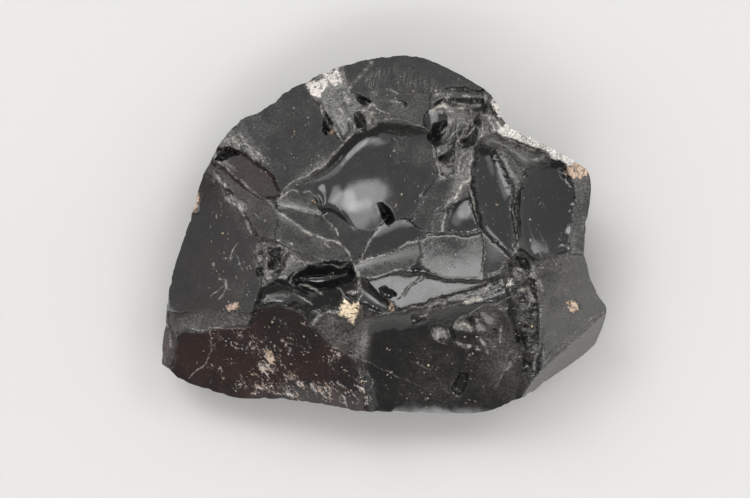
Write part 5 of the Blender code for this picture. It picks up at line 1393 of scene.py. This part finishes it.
def glass_material(settings, crust_settings, groups):
    """Black glass with brown bands, dust, worn lines, cracks, streaks, grit and crust; the streaks and some of the
    dust and lines are painted highlights.

    Each is masked by one of the mesh's own layers and broken up by noise. A line's dust falls off as a bell of the
    distance to it in its own widths.
    """
    material = bpy.data.materials.new("dusty obsidian")
    material.use_nodes = True
    tree = material.node_tree
    shader = tree.nodes["Principled BSDF"]
    shader.inputs["IOR"].default_value = GLASS_IOR
    place = millimetres(tree)
    banding = patchy(tree, place, "brown bands")
    brown = sum_up(tree, "MULTIPLY", attribute(tree, "tint").outputs["Fac"], banding)
    colour = mix_colour(tree, "MIX", brown, (*settings.glass_colour, 1.0), (*settings.brown_colour, 1.0))

    offset = attribute(tree, "line_offset").outputs["Fac"]
    bell = sum_up(tree, "EXPONENT", sum_up(tree, "MULTIPLY", sum_up(tree, "MULTIPLY", offset, offset), -1.0))
    worn = patchy(tree, place, "worn lines")
    line = sum_up(tree, "MULTIPLY", sum_up(tree, "MULTIPLY", bell, attribute(tree, "line_dust").outputs["Fac"]), worn)
    crack = sum_up(tree, "MAXIMUM", sum_up(tree, "MULTIPLY", line, -1.0), 0.0)
    combed = add_node(tree, "ShaderNodeMapping", {
        "Vector": place, "Rotation": (0.0, 0.0, STREAK_TURN), "Scale": STREAK_STRETCH},
        vector_type="TEXTURE").outputs[0]
    strokes = patchy(tree, combed, "strokes")
    streaks = sum_up(tree, "MULTIPLY", strokes, attribute(tree, "streaks").outputs["Fac"])
    line = sum_up(tree, "MAXIMUM", line, 0.0)
    # The film carries painted highlights too: the crown streaks, the bright lines and arcs, the crest's band and the
    # bowl's pale arc, all drawn as dust.
    film = sum_up(tree, "ADD", attribute(tree, "film").outputs["Fac"], sum_up(tree, "ADD", line, streaks))
    film = sum_up(tree, "MULTIPLY", film, settings.dustiness)
    motes = sum_up(tree, "MULTIPLY", ramp_between(tree, film, 0.0, 0.08, 0.12, 1.0), settings.motes)
    dust = add_node(tree, "ShaderNodeGroup", node_tree=groups["dust"])
    for name, value in (("Place", place), ("Film", film), ("Motes", motes)):
        tree.links.new(value, dust.inputs[name])
    dust.inputs["Specks"].default_value = settings.specks
    # Heavy line film, the painted highlights among it, takes the thick dust colour.
    thick = ramp_between(tree, line, *THICK_LINE)
    dust_colour = mix_colour(tree, "MIX", thick, (*settings.dust_colour, 1.0), (*settings.thick_colour, 1.0))
    dusty = mix_colour(tree, "MULTIPLY", 1.0, dust_colour, dust.outputs["Film"])
    colour = mix_colour(tree, "ADD", 1.0, colour, dusty)

    grit = add_node(tree, "ShaderNodeGroup", node_tree=groups["grit"])
    tree.links.new(place, grit.inputs["Place"])
    tree.links.new(attribute(tree, "grit").outputs["Fac"], grit.inputs["Share"])
    grit_shade = ramp_between(tree, grit.outputs["Shade"], 0.45, 0.62)
    grit_colour = mix_colour(tree, "MIX", grit_shade, (*crust_settings.white, 1.0), (*crust_settings.peach, 1.0))
    grit_cover = sum_up(tree, "MULTIPLY", grit.outputs["Cover"], GRIT_COVER)
    colour = mix_colour(tree, "MIX", grit_cover, colour, grit_colour)

    ragged = patchy(tree, place, "ragged crust")
    crust_cover = ramp_between(
        tree, sum_up(tree, "ADD", attribute(tree, "crust").outputs["Fac"], ragged), 0.5, 0.62)
    mottle = patchy(tree, place, "crust mottle")
    crust_colour = mix_colour(tree, "MULTIPLY", 1.0, attribute(tree, "crust_colour").outputs["Color"], mottle)
    colour = mix_colour(tree, "MIX", crust_cover, colour, crust_colour)
    tree.links.new(colour, shader.inputs["Base Color"])

    cover = sum_up(tree, "MAXIMUM", crust_cover, grit_cover)
    film_rough = ramp_between(tree, dust.outputs["Film"], 0.0, DUSTY_FILM, settings.gloss_roughness, DUSTY_ROUGHNESS)
    rough = add_node(tree, "ShaderNodeMix", {0: cover, 2: film_rough, 3: CRUST_ROUGHNESS}).outputs[0]
    tree.links.new(rough, shader.inputs["Roughness"])

    crushed = add_node(tree, "ShaderNodeGroup", node_tree=groups["crushed"])
    tree.links.new(place, crushed.inputs["Place"])
    crush_height = sum_up(tree, "MULTIPLY", crushed.outputs["Height"],
                          sum_up(tree, "MULTIPLY", attribute(tree, "crush").outputs["Fac"], settings.splinters))
    height = sum_up(tree, "ADD", sum_up(tree, "MULTIPLY", dust.outputs["Height"], DUST_HEIGHT), crush_height)
    height = sum_up(tree, "SUBTRACT", height, sum_up(tree, "MULTIPLY", crack, CRACK_DEPTH))
    height = sum_up(tree, "MULTIPLY_ADD", cover, COVER_HEIGHT, height)
    height = sum_up(tree, "MULTIPLY_ADD", sum_up(tree, "MULTIPLY", crust_cover, mottle), MOTTLE_HEIGHT, height)
    bump = add_node(tree, "ShaderNodeBump", {"Height": height, "Strength": 1.0, "Distance": MM})
    tree.links.new(bump.outputs["Normal"], shader.inputs["Normal"])
    return material


def grain_material(crust_settings, groups):
    """Pale mineral grains, each with its own colour, a little mottled and dusty."""
    material = bpy.data.materials.new("mineral grains")
    material.use_nodes = True
    tree = material.node_tree
    shader = tree.nodes["Principled BSDF"]
    shader.inputs["IOR"].default_value = GLASS_IOR
    place = millimetres(tree)
    dust = add_node(tree, "ShaderNodeGroup", node_tree=groups["dust"])
    tree.links.new(place, dust.inputs["Place"])
    dust.inputs["Film"].default_value = GRAIN_FILM
    dust.inputs["Specks"].default_value = 0.0
    mottle = patchy(tree, place, "grain mottle")
    colour = mix_colour(tree, "MULTIPLY", 1.0, attribute(tree, "grain_colour").outputs["Color"], mottle)
    tree.links.new(colour, shader.inputs["Base Color"])
    rough = ramp_between(tree, dust.outputs["Film"], 0.0, 0.3, 0.5, 0.9)
    tree.links.new(rough, shader.inputs["Roughness"])
    bump = add_node(tree, "ShaderNodeBump", {"Height": dust.outputs["Height"], "Strength": 1.0, "Distance": MM})
    tree.links.new(bump.outputs["Normal"], shader.inputs["Normal"])
    return material

# ---------------------------------------------------------------------------------------------------------------
# Mineral grains.
# ---------------------------------------------------------------------------------------------------------------


def grain_shape():
    """One grain: a low closed dome over a ring of sides, its radius and height as functions of turn and rise."""
    turn = np.arange(GRAIN_SIDES) * 2.0 * np.pi / GRAIN_SIDES
    rise = np.array([-GRAIN_RING, 0.0, GRAIN_RING])[:, None]
    radius = np.sqrt(1.0 - rise * rise)
    rings = np.stack([radius * np.cos(turn), radius * np.sin(turn), rise + 0.0 * turn], axis=-1).reshape(-1, 3)
    places = np.concatenate([rings, [(0.0, 0.0, 1.0), (0.0, 0.0, -1.0)]])
    loops = np.arange(3 * GRAIN_SIDES).reshape(3, -1)
    top, bottom = len(places) - 2, len(places) - 1
    triangles = [band_triangles(loops[2], loops[1]), band_triangles(loops[1], loops[0]),
                 np.c_[loops[2], np.roll(loops[2], -1), np.full(GRAIN_SIDES, top)],
                 np.c_[np.roll(loops[0], -1), loops[0], np.full(GRAIN_SIDES, bottom)]]
    return places, np.concatenate(triangles)


def grain_places(settings, crust_settings):
    """Places, sizes and colours of the grains: more where the grit is thick, in clumps."""
    rng = np.random.default_rng(GRAIN_SEED)
    tries = rng.uniform(*GRAIN_AREA, (GRAIN_TRIES, 2))
    share = grit_share(tries[:, 0], tries[:, 1])
    clumps = smooth_step(0.0, CLUMP_FULL, waves(tries[:, 0], tries[:, 1], CLUMP_LENGTH, CLUMP_SEED))
    inside = edge_gap(places_of(OUTLINE), tries[:, 0], tries[:, 1]) < -GRAIN_MARGIN
    kept = inside & (rng.uniform(0.0, 1.0, GRAIN_TRIES) < share * clumps)
    places = tries[kept][:crust_settings.grains]
    face = upper_face(places[:, 0], places[:, 1], settings.edge_wobble / MM, settings.facet_height)
    sizes = crust_settings.grain_size / MM * np.exp(rng.normal(0.0, GRAIN_SPREAD, len(places)))
    palette = np.array([crust_settings.white, crust_settings.cream, crust_settings.peach])
    tones = palette[rng.choice(3, len(places), p=GRAIN_MIX)] * rng.uniform(*GRAIN_TONES, (len(places), 1))
    return np.c_[places, face.low[0]], np.minimum(sizes, LARGEST_GRAIN), tones, rng


def grains_mesh(settings, crust_settings):
    """All grains as one mesh: one shape, each time turned, squeezed, roughened and half sunk into the glass."""
    shape, triangles = grain_shape()
    centres, sizes, tones, rng = grain_places(settings, crust_settings)
    count = len(centres)
    turn = rng.uniform(0.0, 2.0 * np.pi, (count, 1))
    stretch = np.stack([np.ones(count), rng.uniform(*GRAIN_WIDTHS, count), rng.uniform(*GRAIN_HEIGHTS, count)],
                       axis=-1)
    rough = 1.0 + rng.uniform(-GRAIN_ROUGH, GRAIN_ROUGH, (count, len(shape), 1))
    bodies = shape[None] * rough * stretch[:, None] * sizes[:, None, None]
    spun = np.stack([bodies[..., 0] * np.cos(turn) - bodies[..., 1] * np.sin(turn),
                     bodies[..., 0] * np.sin(turn) + bodies[..., 1] * np.cos(turn), bodies[..., 2]], axis=-1)
    places = (spun + centres[:, None]).reshape(-1, 3)
    faces = (triangles[None] + len(shape) * np.arange(count)[:, None, None]).reshape(-1, 3)
    colours = np.repeat(np.c_[tones, np.ones(count)], len(shape), axis=0)
    return places, faces, {"grain_colour": colours}


# ---------------------------------------------------------------------------------------------------------------
# Stage.
# ---------------------------------------------------------------------------------------------------------------


def toward(azimuth, tilt):
    """Unit direction that leans by tilt from straight up, towards azimuth (degrees from the right, anticlockwise)."""
    azimuth, tilt = np.radians(azimuth), np.radians(tilt)
    return Vector((np.cos(azimuth) * np.sin(tilt), np.sin(azimuth) * np.sin(tilt), np.cos(tilt)))


def studio_world(stage):
    """Soft surroundings: a pale dome, dimmer low on the near side, with softboxes that fade at their edges."""
    world = bpy.data.worlds.new("soft studio")
    bpy.context.scene.world = world
    world.use_nodes = True
    tree = world.node_tree
    direction = add_node(tree, "ShaderNodeTexCoord").outputs["Generated"]
    near = add_node(tree, "ShaderNodeVectorMath", {0: direction, 1: Vector((0.0, -1.0, 0.0))},
                    operation="DOT_PRODUCT").outputs["Value"]
    dim = ramp_between(tree, near, *NEAR_SIDE)
    sky = mix_colour(tree, "MIX", dim, (*stage.dome_colour, 1.0), (*stage.near_colour, 1.0))
    for azimuth, tilt, inner, outer, strength in SOFTBOXES:
        facing = add_node(tree, "ShaderNodeVectorMath", {0: direction, 1: toward(azimuth, tilt)},
                          operation="DOT_PRODUCT").outputs["Value"]
        glow = ramp_between(tree, facing, np.cos(np.radians(outer)), np.cos(np.radians(inner)), 0.0,
                            strength * stage.softbox)
        sky = mix_colour(tree, "ADD", 1.0, sky, glow)
    seen = add_node(tree, "ShaderNodeLightPath").outputs["Is Camera Ray"]
    colour = mix_colour(tree, "MIX", seen, sky, (*stage.backdrop_colour, 1.0))
    tree.links.new(colour, tree.nodes["Background"].inputs["Color"])


def floor_mesh(stage):
    """A flat pale floor just under the chunk: a level square net."""
    half = stage.floor_size / MM / 2.0
    x, y = np.meshgrid((-half, half), (-half, half))
    places = np.c_[x.ravel(), y.ravel(), np.full(4, -FLOOR_GAP)]
    material = bpy.data.materials.new("pale floor")
    material.use_nodes = True
    shader = material.node_tree.nodes["Principled BSDF"]
    shader.inputs["Base Color"].default_value = (*stage.floor_colour, 1.0)
    shader.inputs["Roughness"].default_value = FLOOR_ROUGHNESS
    return mesh_object("floor", places, net_triangles(2, places[:, 2].reshape(2, 2).ravel()), {}, material)


def stage_camera(stage):
    """A camera that looks straight down, with the chunk's face in a frame of the given width."""
    camera = bpy.data.cameras.new("camera")
    camera.sensor_width = SENSOR_WIDTH
    camera.lens = SENSOR_WIDTH * stage.camera_height / stage.frame_width
    camera.clip_start, camera.clip_end = CLIPPING
    thing = bpy.data.objects.new("camera", camera)
    thing.location = (AIM[0] * MM, AIM[1] * MM, stage.camera_height + AIM[2] * MM)
    bpy.context.scene.collection.objects.link(thing)
    bpy.context.scene.camera = thing


# ---------------------------------------------------------------------------------------------------------------
# Settings, operators and panel.
# ---------------------------------------------------------------------------------------------------------------


def colour_setting(name, description, default, most=1.0):
    """A colour among the settings."""
    return FloatVectorProperty(
        name=name, description=description, subtype="COLOR", size=3, default=default, min=0.0, max=most)


def share_setting(name, description, default, most=1.0):
    """A share among the settings."""
    return FloatProperty(name=name, description=description, subtype="FACTOR", default=default, min=0.0, max=most)


class ObsidianGlassSettings(PropertyGroup):
    """Glass, dust and the character of the fractures."""

    glass_colour: colour_setting("Glass", "Colour of the black glass", (0.0022, 0.0024, 0.0026))
    brown_colour: colour_setting("Brown glass", "Colour of the brown bands", (0.015, 0.0050, 0.0040))
    dust_colour: colour_setting("Dust", "Colour of the dust", (1.0, 0.97, 0.90))
    thick_colour: colour_setting(
        "Thick dust", "Colour of the dust where it lies thick along worn lines", (1.0, 0.91, 0.78))
    dustiness: share_setting("Dustiness", "How much dust lies on the glass", 1.0, 3.0)
    motes: share_setting("Motes", "How bright the single motes of dust are", 0.16)
    specks: share_setting("Specks", "How bright the finest specks and scuffs are", 0.10)
    splinters: FloatProperty(
        name="Splinters", description="Height of the finest splinters in crushed places, in millimetres",
        default=0.03, min=0.0, max=1.0)
    gloss_roughness: share_setting("Gloss roughness", "Roughness of the cleanest glass", 0.07)
    edge_wobble: FloatProperty(
        name="Edge wobble", description="How far the ridges wander", unit="LENGTH",
        default=0.00010, min=0.0, max=0.0005)
    facet_height: share_setting(
        "Facet height", "Height of the facets in crushed places, as a share of their usual height", 1.0, 2.0)


class ObsidianCrustSettings(PropertyGroup):
    """Mineral crust and grains."""

    cream: colour_setting("Cream", "Colour of the cream crust", (0.74, 0.60, 0.43))
    peach: colour_setting("Peach", "Colour of the peach crust", (0.44, 0.33, 0.25))
    pink: colour_setting("Pink", "Colour of the pink crust", (0.38, 0.28, 0.22))
    white: colour_setting("White", "Colour of the white crust", (0.52, 0.48, 0.45))
    ochre: colour_setting("Ochre", "Colour of the ochre spots", (0.32, 0.22, 0.13))
    height: share_setting("Crust height", "Height of the crust, as a share of its usual height", 1.0, 2.0)
    grains: IntProperty(
        name="Grains", description="Most grains that lie on the glass", default=1500, min=10, max=4000)
    grain_size: FloatProperty(
        name="Grain size", description="Half the width of an ordinary grain", unit="LENGTH",
        default=0.000085, min=0.00002, max=0.0003)


class ObsidianStageSettings(PropertyGroup):
    """Floor, lights and camera."""

    floor_colour: colour_setting("Floor", "Colour of the floor", (0.455, 0.45, 0.442))
    backdrop_colour: colour_setting("Backdrop", "Colour seen past the floor", (0.84, 0.83, 0.81))
    dome_colour: colour_setting("Dome", "Light from all round", (1.0, 1.0, 1.0), 4.0)
    near_colour: colour_setting("Near side", "Light from low on the near side", (0.34, 0.32, 0.31), 4.0)
    softbox: FloatProperty(
        name="Softboxes", description="Strength of the softboxes", default=1.0, min=0.0, max=10.0)
    floor_size: FloatProperty(
        name="Floor size", description="Width of the floor", unit="LENGTH", default=6.0, min=0.2, max=20.0)
    camera_height: FloatProperty(
        name="Camera height", description="How far the camera is above the chunk's face", unit="LENGTH",
        default=0.6, min=0.2, max=5.0)
    frame_width: FloatProperty(
        name="Frame width", description="Width of what the camera sees at the chunk's face", unit="LENGTH",
        default=0.08355, min=0.05, max=0.5)


class OBSIDIAN_OT_chunk(Operator):
    """Build the chunk's fractured skin and its dusty glass"""

    bl_idname = "obsidian.chunk"
    bl_label = "Build the Chunk"

    def execute(self, context):
        scene = context.scene
        groups = {"dust": dust_group(), "grit": grit_group(), "crushed": chipped_group()}
        material = glass_material(scene.obsidian_glass, scene.obsidian_crust, groups)
        chunk = mesh_object("obsidian_skin", *chunk_mesh(scene.obsidian_glass, scene.obsidian_crust), material)
        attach(chunk, "root")
        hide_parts("obsidian_chunk")
        return {"FINISHED"}


class OBSIDIAN_OT_grains(Operator):
    """Scatter the pale mineral grains over the gritty places"""

    bl_idname = "obsidian.grains"
    bl_label = "Scatter the Grains"

    def execute(self, context):
        scene = context.scene
        groups = {"dust": bpy.data.node_groups["dust on glass"]}
        material = grain_material(scene.obsidian_crust, groups)
        grains = mesh_object("mineral_grains", *grains_mesh(scene.obsidian_glass, scene.obsidian_crust), material)
        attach(grains, "root")
        return {"FINISHED"}


class OBSIDIAN_OT_stage(Operator):
    """Lay the floor, light the studio and place the camera"""

    bl_idname = "obsidian.stage"
    bl_label = "Set the Stage"

    def execute(self, context):
        stage = context.scene.obsidian_stage
        floor_mesh(stage)
        studio_world(stage)
        stage_camera(stage)
        context.scene.view_settings.view_transform = "Standard"
        return {"FINISHED"}


class VIEW3D_PT_obsidian(Panel):
    """Sidebar panel with the chunk's settings and operators"""

    bl_label = "Obsidian Chunk"
    bl_space_type = "VIEW_3D"
    bl_region_type = "UI"
    bl_category = "Obsidian"

    def draw(self, context):
        scene = context.scene
        for settings, operator in ((scene.obsidian_glass, "obsidian.chunk"),
                                   (scene.obsidian_crust, "obsidian.grains"),
                                   (scene.obsidian_stage, "obsidian.stage")):
            box = self.layout.box()
            for name in settings.__annotations__:
                box.prop(settings, name)
            box.operator(operator)


CLASSES = (ObsidianGlassSettings, ObsidianCrustSettings, ObsidianStageSettings, OBSIDIAN_OT_chunk,
           OBSIDIAN_OT_grains, OBSIDIAN_OT_stage, VIEW3D_PT_obsidian)


def register():
    for cls in CLASSES:
        bpy.utils.register_class(cls)
    bpy.types.Scene.obsidian_glass = PointerProperty(type=ObsidianGlassSettings)
    bpy.types.Scene.obsidian_crust = PointerProperty(type=ObsidianCrustSettings)
    bpy.types.Scene.obsidian_stage = PointerProperty(type=ObsidianStageSettings)


def unregister():
    for name in ("obsidian_stage", "obsidian_crust", "obsidian_glass"):
        delattr(bpy.types.Scene, name)
    for cls in reversed(CLASSES):
        bpy.utils.unregister_class(cls)


def main():
    register()
    bpy.ops.obsidian.stage()
    bpy.ops.obsidian.chunk()
    bpy.ops.obsidian.grains()


if __name__ == "__main__":
    main()
